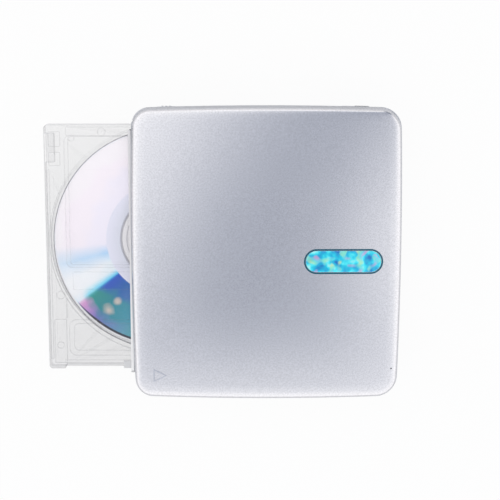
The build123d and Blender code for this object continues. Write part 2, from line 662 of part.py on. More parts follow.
def objective_lens():
    """Domed lens in the sled's boss."""
    barrel = post(SPINDLE_X, LENS_Y, LENS_RADIUS, (7.6, 8.3))
    dome = Pos(SPINDLE_X, LENS_Y, LENS_TOP - LENS_DOME_RADIUS) * Sphere(LENS_DOME_RADIUS)
    return barrel + (dome & post(SPINDLE_X, LENS_Y, LENS_RADIUS - 0.4, (8.2, 9)))


# ---- Battery side -----------------------------------------------------------------------------
def battery_cell():
    """Flat rechargeable cell with round long edges."""
    cell = block(CELL_X, CELL_Y, CELL_Z)
    cell = fillet(cell.edges().filter_by(Axis.Y), CELL_RADIUS)
    nub_x = sum(CELL_X) / 2
    return cell + pin_along_y(nub_x, sum(CELL_Z) / 2, 1.2, (CELL_Y[1], CELL_Y[1] + 0.3))


def battery_sleeve():
    """Moulded channel round the cell, open at the door."""
    grow = SLEEVE + SLEEVE_GAP
    outer = block(
        (CELL_X[0] - grow, CELL_X[1] + grow), (CELL_Y[0] + 0.6, CELL_Y[1] + 1.2),
        (CELL_Z[0] - grow, DECK_Z[0]))
    inner = block(
        (CELL_X[0] - SLEEVE_GAP, CELL_X[1] + SLEEVE_GAP), (CELL_Y[0], CELL_Y[1] + 0.85),
        (CELL_Z[0] - SLEEVE_GAP, DECK_Z[0]))
    return outer - inner


def battery_contact():
    """Bent contact plate at the inner end of the cell."""
    middle = sum(CELL_X) / 2
    y_range = (CELL_Y[1] + 0.4, CELL_Y[1] + 0.7)
    plate = block((middle - 3.0, middle + 3.0), y_range, (3.0, 6.2))
    return plate + block((middle - 3.0, middle + 3.0), (y_range[0] - 0.05, y_range[1]), (5.9, 6.6))


def door_shape(x_gap, z_range):
    """Piece of the base wall between the door's ends."""
    x_range = (DOOR_X[0] - x_gap, DOOR_X[1] + x_gap)
    return base_wall() & block(x_range, (-BODY_Y, -BODY_Y / 2 + 5), z_range)


def battery_door():
    """Door cut from the wall's own curve, hinged on its lower edge."""
    door = door_shape(0, DOOR_Z)
    heel = pin_along_x(DOOR_PIVOT_Y, DOOR_PIVOT_Z, DOOR_PIVOT_Z - DOOR_Z[0], DOOR_X)
    below = block(DOOR_X, (-BODY_Y, 0), (0, DOOR_PIVOT_Z))
    door = (door - below) + heel
    door += block((22.0, 26.2), (-41.8, -40.9), (7.0, DOOR_Z[1]))
    return door - pin_along_x(DOOR_PIVOT_Y, DOOR_PIVOT_Z, DOOR_PIN_RADIUS + RUNNING_GAP, DOOR_X)


def door_contact():
    """Sprung contact leaf inside the door, drawn flat."""
    return block((20.0, 28.0), (-40.55, -40.3), (3.6, 6.4))


def door_pins():
    """Pin that the battery door turns on."""
    x_range = (DOOR_X[0] - 1.2, DOOR_X[1] + 1.0)
    return pin_along_x(DOOR_PIVOT_Y, DOOR_PIVOT_Z, DOOR_PIN_RADIUS, x_range)


# ---- Sockets ----------------------------------------------------------------------------------
def jack_housing():
    """Headphone socket with a round collar in the wall."""
    x_range = (JACK_X - 3.1, JACK_X + 3.1)
    housing = block(x_range, JACK_Y, (2.0, JACK_Z + 2.6))
    collar_end = wall_y(JACK_X, JACK_Z)
    housing += pin_along_y(JACK_X, JACK_Z, JACK_COLLAR - RUNNING_GAP, (JACK_Y[1], collar_end))
    return housing - pin_along_y(JACK_X, JACK_Z, JACK_BORE, (JACK_Y[0] + JACK_BLIND, BODY_Y))


def remote_shape(width, height, y_range):
    """Flat-sided slot along Y with round ends, at the remote socket."""
    slot = Plane.XZ * SlotOverall(width, height)
    length = y_range[1] - y_range[0]
    return Pos(REMOTE_X, y_range[1], JACK_Z) * extrude(slot, length)


def remote_connector():
    """Narrow remote-control socket beside the headphone socket."""
    end = wall_y(REMOTE_X, JACK_Z)
    shell = block((REMOTE_X - 4.2, REMOTE_X + 4.2), REMOTE_Y, (JACK_Z - 2.0, JACK_Z + 2.0))
    shell += remote_shape(REMOTE_SIZE[0] + 1.9, REMOTE_SIZE[1] + 1.9, (REMOTE_Y[1], end))
    return shell - remote_shape(*REMOTE_SIZE, (REMOTE_Y[0] + 2.0, BODY_Y))


# ---- Controls ---------------------------------------------------------------------------------
def button_shape(place, grow, y_range):
    """Pill-shaped prism along Y at one button's place."""
    slot = Plane.XZ * SlotOverall(BUTTON_SIZE[0] + 2 * grow, BUTTON_SIZE[1] + 2 * grow)
    x = BUTTON_FIRST_X + BUTTON_PITCH * place
    return Pos(x, y_range[1], BUTTON_Z) * extrude(slot, y_range[1] - y_range[0])


def button(place):
    """Push button with a retaining flange behind the wall."""
    x = BUTTON_FIRST_X + BUTTON_PITCH * place
    outer = -wall_y(x, BUTTON_Z) - BUTTON_PROUD
    inner = -wall_y(x, BUTTON_Z) + WALL + 0.35
    cap = button_shape(place, 0, (outer, inner))
    cap = fillet(cap.faces().sort_by(Axis.Y)[0].edges(), 0.35)
    return cap + button_shape(place, BUTTON_FLANGE, (inner, inner + 0.6))


def key_switches():
    """Tact switches behind the buttons."""
    switches = []
    for place in range(len(BUTTON_NAMES)):
        x = BUTTON_FIRST_X + BUTTON_PITCH * place
        front = -wall_y(x, BUTTON_Z) + WALL + 0.95 + BUTTON_TRAVEL + 0.1
        body = block((x - 1.5, x + 1.5), (front + 0.3, -38.6), (BUTTON_Z - 1.4, BUTTON_Z + 1.1))
        dome = pin_along_y(x, BUTTON_Z, 0.8, (front, front + 0.3))
        switches.append(body + dome)
    return Compound(switches)


def key_board():
    """Upright strip board that carries the switches."""
    return block((-33.2, 9.8), (-38.6, -38.0), (3.6, 7.8))


def wall_skin(inner_gap, outer_gap):
    """Thin shell outside the base wall, between two distances from it."""
    outer = drafted(BASE_INSET - outer_gap, COVER_THICKNESS, -outer_gap, PARTING_Z)
    return outer - drafted(BASE_INSET - inner_gap, COVER_THICKNESS, -inner_gap, PARTING_Z)


def knob(x_range):
    """Sliding knob whose outer face follows the case, with its stem through the wall."""
    middle = sum(x_range) / 2
    cap = wall_skin(-KNOB_SUNK, KNOB_PROUD) & block(x_range, (0, BODY_Y), KNOB_Z)
    y_wall = wall_y(middle, KNOB_Z[1])
    stem_x = (x_range[0] + KNOB_SLOT_END + KNOB_STEM_PLAY, x_range[1] - KNOB_SLOT_END - KNOB_STEM_PLAY)
    lip = KNOB_SLOT_LIP + KNOB_STEM_PLAY
    plate_y = (y_wall - WALL - KNOB_PLATE[0], y_wall - WALL - KNOB_PLATE[1])
    cap += block(stem_x, (plate_y[0], y_wall - KNOB_GAP), (KNOB_Z[0] + lip, KNOB_Z[1] - lip))
    return cap + block(x_range, plate_y, KNOB_Z)


def hold_switch():
    """Hold slider on the jack side."""
    return knob(HOLD_X) - hold_mark()


def hold_mark():
    """Dark insert at the end of the hold slider."""
    x_range = (HOLD_X[1] - HOLD_MARK_LENGTH, HOLD_X[1] - KNOB_SLOT_LIP)
    skin = wall_skin(-HOLD_MARK_SEAT, HOLD_MARK_PROUD)
    return skin & block(x_range, (0, BODY_Y), (KNOB_Z[0] + KNOB_SLOT_LIP, KNOB_Z[1] - KNOB_SLOT_LIP / 2))


def open_slider():
    """Lid-release slider with three finger ridges and its latch hook."""
    slider = knob(OPEN_X)
    middle = sum(OPEN_X) / 2
    y_wall = wall_y(middle, KNOB_Z[1])
    for place in range(RIDGE_COUNT):
        x = middle + 1.1 * (place - 1)
        ridge_y = (y_wall - KNOB_GAP, y_wall + HOLD_MARK_PROUD)
        slider += block((x - 0.25, x + 0.25), ridge_y, (KNOB_Z[0] + 0.2, KNOB_Z[1] - 0.1))
    bar_y = (y_wall - WALL - KNOB_PLATE[0], y_wall - WALL - KNOB_PLATE[1])
    slider += block((OPEN_X[0] - 1.2, OPEN_X[0]), bar_y, (KNOB_Z[0], 14.2))
    return slider + block((OPEN_X[0] - 1.2, OPEN_X[0] + 0.4), bar_y, (13.5, 14.2))


# ---- Disc holder ------------------------------------------------------------------------------
def holder_tray():
    """Sheet channel that carries the cartridge, with arms on the hinge pins."""
    top_z = (HOLDER_TOP - SHEET, HOLDER_TOP)
    south = CARTRIDGE_SOUTH - HOLDER_GAP
    north = CARTRIDGE_NORTH + HOLDER_GAP
    low_z = (CARTRIDGE_BOTTOM - HOLDER_GAP - SHEET, CARTRIDGE_BOTTOM - HOLDER_GAP)
    tray = block(HOLDER_X, (south - SHEET, north + SHEET), top_z)
    tray -= rounded_slab((-30.0, -6.0), (-24.0, 29.0), (14, 16), 3.0)
    tray -= rounded_slab((0.0, 26.0), (-24.0, 29.0), (14, 16), 3.0)
    for wall in ((south - SHEET, south), (north, north + SHEET)):
        tray += block(HOLDER_X, wall, (low_z[0], top_z[1]))
    tray += block(HOLDER_X, (south - SHEET, south + HOLDER_LIP_REACH), low_z)
    tray += block(HOLDER_X, (north - HOLDER_LIP_REACH, north + SHEET), low_z)
    tray += block((HOLDER_X[1] - SHEET, HOLDER_X[1]), (south + 12, north - 12), (11.5, top_z[1]))
    for side in (-1, 1):
        arm_y = sorted((side * HOLDER_LUG_Y, side * (HOLDER_LUG_Y + LUG_WIDTH)))
        reach_y = sorted((side * (HOLDER_LUG_Y - 6.0), side * (HOLDER_LUG_Y + LUG_WIDTH)))
        tray += block((HOLDER_X[1] - SHEET, HINGE_X + LUG_RADIUS), reach_y, top_z)
        tray += block((HINGE_X - LUG_RADIUS, HINGE_X + LUG_RADIUS), arm_y, (HINGE_Z, top_z[1]))
        tray += pin_along_y(HINGE_X, HINGE_Z, LUG_RADIUS, arm_y)
        tray -= pin_along_y(HINGE_X, HINGE_Z, PIN_RADIUS + RUNNING_GAP, arm_y)
    return tray


def slot_lip():
    """Trim round the mouth of the holder, seen in the slot beside the cartridge."""
    y_range = (CARTRIDGE_SOUTH - 0.9, CARTRIDGE_NORTH + 0.9)
    ring = extrude(outline(0.15, 9.0), LIP_TOP - 9.0) - extrude(outline(1.3, 9.0), LIP_TOP - 9.0)
    lip = ring & block(LIP_X, y_range, (9.0, LIP_TOP))
    lip -= block((LIP_X[0] - 1, LIP_X[1] + 1), (CARTRIDGE_SOUTH - HOLDER_GAP, CARTRIDGE_NORTH + HOLDER_GAP),
                 (8, CARTRIDGE_TOP + HOLDER_GAP))
    return lip + block((-38.4, HOLDER_X[0] + 1.2), (-20.0, 25.0), (HOLDER_TOP, LIP_TOP))


def holder_springs():
    """Two leaf springs on the holder that press the cartridge down."""
    leaves = []
    for y in (-28.5, 33.5):
        leaf = rounded_slab((-28.0, 22.0), (y - 1.5, y + 1.5), (HOLDER_TOP, HOLDER_TOP + 0.2), 1.0)
        leaves.append(leaf)
    return Compound(leaves)


# ---- Lid --------------------------------------------------------------------------------------
def hinge_relief():
    """Wedge cut from the lid's wall behind the hinge line, so that it can swing."""
    rise = (BODY_X / 2 + 2 - HINGE_X) * math.tan(math.radians(RELIEF_ANGLE))
    start_z = PARTING_Z + PARTING_GAP
    face = make_face(Polyline(
        (HINGE_X, 0, start_z - 1), (BODY_X / 2 + 2, 0, start_z - 1),
        (BODY_X / 2 + 2, 0, start_z + rise), (HINGE_X, 0, start_z), close=True))
    return extrude(face, BODY_Y / 2 + 2, both=True)


def crown(rise_above):
    """Sphere through the lid's crown, raised by the given height."""
    rise = LID_CROWN_Z - LID_EDGE_Z
    radius = ((BODY_Y / 2) ** 2 + rise ** 2) / (2 * rise)
    return Pos(0, 0, LID_CROWN_Z - radius) * Sphere(radius + rise_above)


def lid_cover():
    """Drafted lid shell with a low crown, a round top edge and the cartridge's notch."""
    start_z = PARTING_Z + PARTING_GAP
    outer = drafted(0, start_z, LID_TOP_INSET, LID_CROWN_Z + 0.3)
    outer = outer & crown(0)
    top = outer.faces().sort_by(Axis.Z)[-1]
    outer = fillet(top.edges(), LID_EDGE_RADIUS)
    lid = outer - drafted(WALL, start_z, WALL + LID_TOP_INSET, LID_INNER_Z)
    lid -= cartridge_notch((start_z - 1, LIP_TOP + 0.3))
    lid -= hinge_relief()
    pocket = SlotOverall(BADGE_SIZE[0], BADGE_SIZE[1])
    return lid - Pos(BADGE_X, BADGE_Y, BADGE_POCKET_Z) * extrude(pocket, 2)


def lid_frame():
    """Pressed stiffener under the lid with the hinge lugs and the latch's window."""
    frame = extrude(outline(3.4, LID_FRAME_Z[0]), LID_FRAME_Z[1] - LID_FRAME_Z[0])
    for x_range in ((-32.0, -4.0), (3.0, 31.0)):
        for y_range in ((-36.0, -4.0), (4.0, 36.0)):
            frame -= rounded_slab(x_range, y_range, (15, 17), 4.0)
    for side in (-1, 1):
        lug_y = sorted((side * LID_LUG_Y, side * (LID_LUG_Y + LUG_WIDTH)))
        frame += block((HINGE_X - LUG_RADIUS, HINGE_X + 0.5), lug_y, (HINGE_Z, LID_FRAME_Z[1]))
        frame += pin_along_y(HINGE_X, HINGE_Z, LUG_RADIUS, lug_y)
        frame -= pin_along_y(HINGE_X, HINGE_Z, PIN_RADIUS + RUNNING_GAP, lug_y)
    return frame


def latch_catch():
    """Catch under the lid, beside the release slider's hook."""
    y_wall = wall_y(sum(OPEN_X) / 2, KNOB_Z[1])
    y_range = (y_wall - WALL - 2.0, y_wall - WALL - 1.0)
    return block((OPEN_X[0] - 3.0, OPEN_X[0] - 1.4), y_range, (12.6, LID_INNER_Z))


def badge_bezel():
    """Thin rim of the pill-shaped inlay in the lid."""
    outer = SlotOverall(BADGE_SIZE[0] - 2 * BADGE_FIT, BADGE_SIZE[1] - 2 * BADGE_FIT)
    inner = SlotOverall(BADGE_SIZE[0] - 2 * BADGE_RIM, BADGE_SIZE[1] - 2 * BADGE_RIM)
    ring = Pos(BADGE_X, BADGE_Y, BADGE_POCKET_Z) * extrude(outer - inner, LID_CROWN_Z - BADGE_POCKET_Z + 1)
    return ring & crown(BADGE_RIM_PROUD)


def badge_lens():
    """Plain domed inlay inside the rim."""
    shape = SlotOverall(BADGE_SIZE[0] - 2 * BADGE_RIM, BADGE_SIZE[1] - 2 * BADGE_RIM)
    lens = Pos(BADGE_X, BADGE_Y, BADGE_POCKET_Z) * extrude(shape, LID_CROWN_Z - BADGE_POCKET_Z + 1)
    lens = lens & crown(BADGE_LENS_PROUD)
    return fillet(lens.faces().sort_by(Axis.Z)[-1].edges(), BADGE_LENS_ROUND)


# ---- Cartridge --------------------------------------------------------------------------------
def track_x():
    """Reach of the shutter's run along X."""
    half = SHUTTER_WIDTH / 2 + TRACK_PLAY
    return (DISC_X - half - SHUTTER_TRAVEL, DISC_X + half)


def cartridge_slab(z_range):
    """Outer block of one half of the cartridge."""
    slab = rounded_slab(
        (CARTRIDGE_WEST, CARTRIDGE_EAST), (CARTRIDGE_SOUTH, CARTRIDGE_NORTH), z_range, CARTRIDGE_CORNER)
    return slab - block(track_x(), (CARTRIDGE_SOUTH - 1, CARTRIDGE_SOUTH + TRACK_DEPTH), (9, 15))


def tab_pocket():
    """Room for the write-protect tab in the trailing edge."""
    x_range = (CARTRIDGE_WEST - 1, CARTRIDGE_WEST + TAB_SIZE[0] + 0.2)
    y_range = (CARTRIDGE_NORTH - 11.0, CARTRIDGE_NORTH - 2.6)
    z_range = (CARTRIDGE_BOTTOM + 0.6, CARTRIDGE_BOTTOM + 0.6 + TAB_SIZE[2] + 0.3)
    return block(x_range, y_range, z_range)


def shutter_recess(z_range, reach):
    """Shallow bed that the shutter's leaf slides in."""
    return block(track_x(), (CARTRIDGE_SOUTH - 1, CARTRIDGE_SOUTH + reach + TRACK_PLAY), z_range)


def disc_well(z_range):
    """Round room for the disc."""
    return post(DISC_X, DISC_Y, DISC_RADIUS + DISC_GAP, z_range)


def cartridge_upper_shell():
    """Clear upper half with a sunk label field and a grip groove."""
    shell = cartridge_slab((CARTRIDGE_MIDDLE, CARTRIDGE_TOP))
    shell = chamfer(shell.edges().group_by(Axis.Z)[-1].filter_by(Axis.X), CARTRIDGE_CHAMFER)
    shell -= disc_well((CARTRIDGE_MIDDLE, CARTRIDGE_TOP - CARTRIDGE_SKIN))
    shell -= shutter_recess((CARTRIDGE_TOP - SHUTTER_RECESS, CARTRIDGE_TOP + 1), SHUTTER_LIP)
    grip_x = (CARTRIDGE_WEST + GRIP_X[0], CARTRIDGE_WEST + GRIP_X[1])
    shell -= rounded_slab(grip_x, GRIP_Y, (CARTRIDGE_TOP - GRIP_DEPTH, 16), (GRIP_X[1] - GRIP_X[0]) * 0.45)
    label_x = (CARTRIDGE_WEST + LABEL_X[0], CARTRIDGE_WEST + LABEL_X[1])
    label_y = (DISC_Y + LABEL_Y[0], DISC_Y + LABEL_Y[1])
    shell -= rounded_slab(label_x, label_y, (CARTRIDGE_TOP - LABEL_DEPTH, 16), LABEL_CORNER)
    return shell - tab_pocket()


def cartridge_lower_shell():
    """Clear lower half with the hub hole, the pickup window and the shutter's bed."""
    shell = cartridge_slab((CARTRIDGE_BOTTOM, CARTRIDGE_MIDDLE))
    shell -= disc_well((CARTRIDGE_BOTTOM + CARTRIDGE_SKIN, CARTRIDGE_MIDDLE))
    shell -= post(DISC_X, DISC_Y, HUB_HOLE, (9, CARTRIDGE_MIDDLE))
    half = WINDOW_WIDTH / 2
    shell -= block((DISC_X - half, DISC_X + half), (DISC_Y - WINDOW_REACH, DISC_Y), (9, CARTRIDGE_MIDDLE))
    shell -= shutter_recess((9, CARTRIDGE_BOTTOM + SHUTTER_RECESS), SHUTTER_REACH)
    return shell - tab_pocket()


def shutter():
    """Bent sheet shutter: long lower leaf, back and short upper lip."""
    x_range = (DISC_X - SHUTTER_WIDTH / 2, DISC_X + SHUTTER_WIDTH / 2)
    back_y = (CARTRIDGE_SOUTH + 0.15, CARTRIDGE_SOUTH + 0.15 + SHUTTER_SHEET)
    low_z = (CARTRIDGE_BOTTOM + 0.05, CARTRIDGE_BOTTOM + 0.05 + SHUTTER_SHEET)
    high_z = (CARTRIDGE_TOP - 0.05 - SHUTTER_SHEET, CARTRIDGE_TOP - 0.05)
    leaf_x = (DISC_X - SHUTTER_LEAF_WIDTH / 2, DISC_X + SHUTTER_LEAF_WIDTH / 2)
    leaf = block(leaf_x, (back_y[0], CARTRIDGE_SOUTH + SHUTTER_REACH), low_z)
    leaf += block(x_range, back_y, (low_z[0], high_z[1]))
    leaf += block(x_range, (back_y[0], CARTRIDGE_SOUTH + SHUTTER_LIP), high_z)
    return leaf


def protect_tab():
    """Write-protect tab that slides along the trailing edge."""
    x_range = (CARTRIDGE_WEST + 0.1, CARTRIDGE_WEST + TAB_SIZE[0])
    y_range = (CARTRIDGE_NORTH - 2.8 - TAB_SIZE[1], CARTRIDGE_NORTH - 2.8)
    z_low = CARTRIDGE_BOTTOM + 0.75
    return block(x_range, y_range, (z_low, z_low + TAB_SIZE[2]))


def disc():
    """Disc with its centre hole."""
    z_range = (DISC_BOTTOM, DISC_BOTTOM + DISC_THICKNESS)
    return post(DISC_X, DISC_Y, DISC_RADIUS, z_range) - post(DISC_X, DISC_Y, HUB_RADIUS, z_range)


def disc_hub():
    """Centre boss with the steel plate that the turntable holds."""
    hub = post(DISC_X, DISC_Y, HUB_RADIUS, (DISC_BOTTOM, DISC_BOTTOM + DISC_THICKNESS))
    hub += post(DISC_X, DISC_Y, HUB_PLATE_RADIUS, (CARTRIDGE_BOTTOM + 0.75, DISC_BOTTOM))
    return hub - post(DISC_X, DISC_Y, 1.9, (9, 13.5))


PIECES = {
    "bottom_cover": bottom_cover,
    "side_frame": side_frame,
    "case_screws": case_screws,
    "charge_contacts": charge_contacts,
    "hinge_pins": hinge_pins,
    "chassis_plate": chassis_plate,
    "shock_mounts": shock_mounts,
    "support_posts": support_posts,
    "detect_switch": detect_switch,
    "guide_rods": guide_rods,
    "main_board": main_board,
    "board_chips": board_chips,
    "spindle_stator": spindle_stator,
    "stator_coils": stator_coils,
    "spindle_rotor": spindle_rotor,
    "turntable_magnet": turntable_magnet,
    "feed_gear": feed_gear,
    "motor_pinion": motor_pinion,
    "feed_motor": feed_motor,
    "gear_post": gear_post,
    "sled_rack": sled_rack,
    "pickup_sled": pickup_sled,
    "objective_lens": objective_lens,
    "battery_cell": battery_cell,
    "battery_sleeve": battery_sleeve,
    "battery_contact": battery_contact,
    "battery_door": battery_door,
    "door_contact": door_contact,
    "door_pins": door_pins,
    "jack_housing": jack_housing,
    "remote_connector": remote_connector,
    "key_switches": key_switches,
    "key_board": key_board,
    "hold_switch": hold_switch,
    "hold_mark": hold_mark,
    "open_slider": open_slider,
    "holder_tray": holder_tray,
    "slot_lip": slot_lip,
    "holder_springs": holder_springs,
    "lid_cover": lid_cover,
    "lid_frame": lid_frame,
    "latch_catch": latch_catch,
    "badge_bezel": badge_bezel,
    "badge_lens": badge_lens,
    "cartridge_upper_shell": cartridge_upper_shell,
    "cartridge_lower_shell": cartridge_lower_shell,
    "shutter": shutter,
    "protect_tab": protect_tab,
    "disc": disc,
    "disc_hub": disc_hub,
}

for name, build_piece in PIECES.items():
    export_step(build_piece(), f"parts/{name}.step")
for number, name in enumerate(BUTTON_NAMES):
    export_step(button(number), f"parts/{name}.step")
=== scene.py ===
"""Looks of a portable disc player with a clear cartridge half inserted in its side slot.

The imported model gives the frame. This script dresses every piece, adds the modelled details that the
solids leave out, and sets the studio and the camera.
"""

import json
import logging
import math
from collections.abc import Callable, Sequence
from dataclasses import dataclass, field
from enum import Enum

import bpy
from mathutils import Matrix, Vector


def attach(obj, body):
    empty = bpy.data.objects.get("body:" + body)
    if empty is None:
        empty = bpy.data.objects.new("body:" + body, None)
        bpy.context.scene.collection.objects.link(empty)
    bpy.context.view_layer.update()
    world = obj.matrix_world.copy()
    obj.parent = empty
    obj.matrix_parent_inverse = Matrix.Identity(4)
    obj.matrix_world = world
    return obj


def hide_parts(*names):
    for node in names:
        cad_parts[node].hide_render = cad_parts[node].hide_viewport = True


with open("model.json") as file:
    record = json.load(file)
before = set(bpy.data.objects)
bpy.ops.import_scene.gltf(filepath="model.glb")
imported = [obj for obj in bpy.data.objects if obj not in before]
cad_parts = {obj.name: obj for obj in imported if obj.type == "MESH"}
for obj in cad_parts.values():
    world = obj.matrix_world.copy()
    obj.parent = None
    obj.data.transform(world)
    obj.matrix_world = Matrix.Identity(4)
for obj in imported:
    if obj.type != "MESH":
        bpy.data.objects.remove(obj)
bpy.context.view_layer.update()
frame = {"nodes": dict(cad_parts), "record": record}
BODY_OF = {node: body for body, nodes in frame["record"]["behaviour"]["bodies"].items() for node in nodes}
LOG = logging.getLogger("player")
MM = 0.001  # one millimetre, in Blender's metres
Colour = tuple[float, float, float]
Span = tuple[float, float]
Point = tuple[float, float, float]
Stops = Sequence[tuple[float, Colour]]
Socket = bpy.types.NodeSocket
Feed = Socket | float | Colour
Piece = bpy.types.Object
Owner = bpy.types.Material | bpy.types.World


def tone(red: float, green: float, blue: float) -> Colour:
    """Turns a colour as the eye reads it, 0 to 255, into the linear light that shaders take."""
    return tuple(
        value / 12.92 if value <= 0.04045 else ((value + 0.055) / 1.055) ** 2.4
        for value in (red / 255, green / 255, blue / 255)
    )


class NodeBench:
    """Adds shader nodes to a material or to the world, and links them."""

    def __init__(self, owner: Owner) -> None:
        """Starts an empty node tree.

        Args:
            owner: The material or the world.
        """
        owner.use_nodes = True
        self.owner = owner
        self.tree = owner.node_tree
        self.tree.nodes.clear()

    @classmethod
    def for_material(cls, name: str) -> "NodeBench":
        """Starts a new material of this name."""
        return cls(bpy.data.materials.new(name))

    def add(self, kind: str, **inputs: object) -> bpy.types.Node:
        """Adds a node and sets its unlinked inputs.

        Args:
            kind: Node type without the ShaderNode prefix.
            **inputs: Socket values, with underscores for spaces in socket names.

        Returns:
            The new node.
        """
        node = self.tree.nodes.new("ShaderNode" + kind)
        for key, value in inputs.items():
            node.inputs[key.replace("_", " ")].default_value = value
        return node

    def link(self, source: Socket, target: Socket) -> None:
        """Links two sockets."""
        self.tree.links.new(source, target)

    def feed(self, target: Socket, value: Feed) -> None:
        """Links a socket to the target, or sets the target to a number or a colour.

        Args:
            target: The input socket.
            value: A socket, a number or a colour.
        """
        if isinstance(value, Socket):
            self.link(value, target)
        else:
            target.default_value = (*value, 1.0) if isinstance(value, tuple) else value

    def place(self, scale: float = 1.0, centre: Point = (0.0, 0.0, 0.0)) -> Socket:
        """Object coordinates from a centre, times a scale.

        Args:
            scale: Cells per metre.
            centre: The point that becomes the pattern's origin, in metres.

        Returns:
            The vector socket.
        """
        coordinates = self.add("TexCoord")
        mapping = self.add("Mapping")
        mapping.inputs["Location"].default_value = tuple(-scale * value for value in centre)
        mapping.inputs["Scale"].default_value = (scale, scale, scale)
        self.link(coordinates.outputs["Object"], mapping.inputs["Vector"])
        return mapping.outputs["Vector"]

    def axes(self, vector: Socket) -> tuple[Socket, Socket, Socket]:
        """Takes a vector apart.

        Args:
            vector: The vector socket.

        Returns:
            The sockets of its X, Y and Z.
        """
        apart = self.add("SeparateXYZ")
        self.link(vector, apart.inputs[0])
        return apart.outputs["X"], apart.outputs["Y"], apart.outputs["Z"]

    def noise(self, cell: float, detail: float = 2.0, centre: Point = (0.0, 0.0, 0.0)) -> Socket:
        """Noise whose features are about one cell wide.

        Args:
            cell: Feature size in metres.
            detail: Octaves.
            centre: The pattern's origin, in metres.

        Returns:
            The noise factor socket.
        """
        texture = self.add("TexNoise", Scale=1.0, Detail=detail, Roughness=0.6)
        self.link(self.place(1.0 / cell, centre), texture.inputs["Vector"])
        return texture.outputs["Fac"]

    def maths(self, operation: str, first: Socket | float, second: Socket | float | None = None) -> Socket:
        """One arithmetic step.

        Args:
            operation: The math node's operation.
            first: A socket or a number.
            second: A socket, a number or nothing.

        Returns:
            The value socket.
        """
        node = self.add("Math")
        node.operation = operation
        self.feed(node.inputs[0], first)
        if second is not None:
            self.feed(node.inputs[1], second)
        return node.outputs["Value"]

    def distance(self, first: Socket, second: Socket) -> Socket:
        """Length of the diagonal over two legs."""
        squares = [self.maths("MULTIPLY", leg, leg) for leg in (first, second)]
        return self.maths("SQRT", self.maths("ADD", *squares))

    def ramp(self, factor: Socket, stops: Stops) -> Socket:
        """Colour ramp over a factor.

        Args:
            factor: The driving socket.
            stops: Position and colour of each stop, in order.

        Returns:
            The colour socket.
        """
        node = self.add("ValToRGB")
        elements = node.color_ramp.elements
        while len(elements) < len(stops):
            elements.new(0.5)
        for element, (position, colour) in zip(elements, stops):
            element.position = position
            element.color = (*colour, 1.0)
        self.link(factor, node.inputs["Fac"])
        return node.outputs["Color"]

    def curve(self, factor: Socket, stops: Sequence[Span]) -> Socket:
        """Value that runs through stops of position and value."""
        return self.ramp(factor, [(position, (value, value, value)) for position, value in stops])

    def mix(self, factor: Socket | float, first: Feed, second: Feed) -> Socket:
        """Blends two colours.

        Args:
            factor: A socket or a number.
            first: Colour at factor 0.
            second: Colour at factor 1.

        Returns:
            The colour socket.
        """
        node = self.add("Mix")
        node.data_type = "RGBA"
        self.feed(node.inputs["Factor"], factor)
        self.feed(node.inputs[6], first)
        self.feed(node.inputs[7], second)
        return node.outputs[2]

    def spread(self, factor: Socket, low: float, high: float, start: float = 0.0, end: float = 1.0) -> Socket:
        """Maps a factor between two marks to a range.

        Args:
            factor: The driving socket.
            low: Result at the first mark.
            high: Result at the second mark.
            start: The first mark.
            end: The second mark.

        Returns:
            The value socket.
        """
        node = self.add("MapRange", From_Min=start, From_Max=end, To_Min=low, To_Max=high)
        self.link(factor, node.inputs["Value"])
        return node.outputs["Result"]

    def bump(self, height: Socket, depth: float) -> Socket:
        """Bump normal from a height between 0 and 1.

        Args:
            height: The height socket.
            depth: Depth of the relief in metres.

        Returns:
            The normal socket.
        """
        node = self.add("Bump", Strength=1.0, Distance=depth)
        self.link(height, node.inputs["Height"])
        return node.outputs["Normal"]

    def blend(self, factor: Socket, first: bpy.types.Node, second: bpy.types.Node) -> bpy.types.Node:
        """Blends two shaders.

        Args:
            factor: The driving socket.
            first: Shader at factor 0.
            second: Shader at factor 1.

        Returns:
            The shader node.
        """
        node = self.add("MixShader")
        self.link(factor, node.inputs["Fac"])
        self.link(first.outputs[0], node.inputs[1])
        self.link(second.outputs[0], node.inputs[2])
        return node

    def finish(self, shader: bpy.types.Node, kind: str = "OutputMaterial") -> Owner:
        """Connects the shader to the output.

        Args:
            shader: The shader node.
            kind: The output node's type, for a material or for the world.

        Returns:
            The material or the world.
        """
        output = self.add(kind)
        self.link(shader.outputs[0], output.inputs["Surface"])
        return self.owner


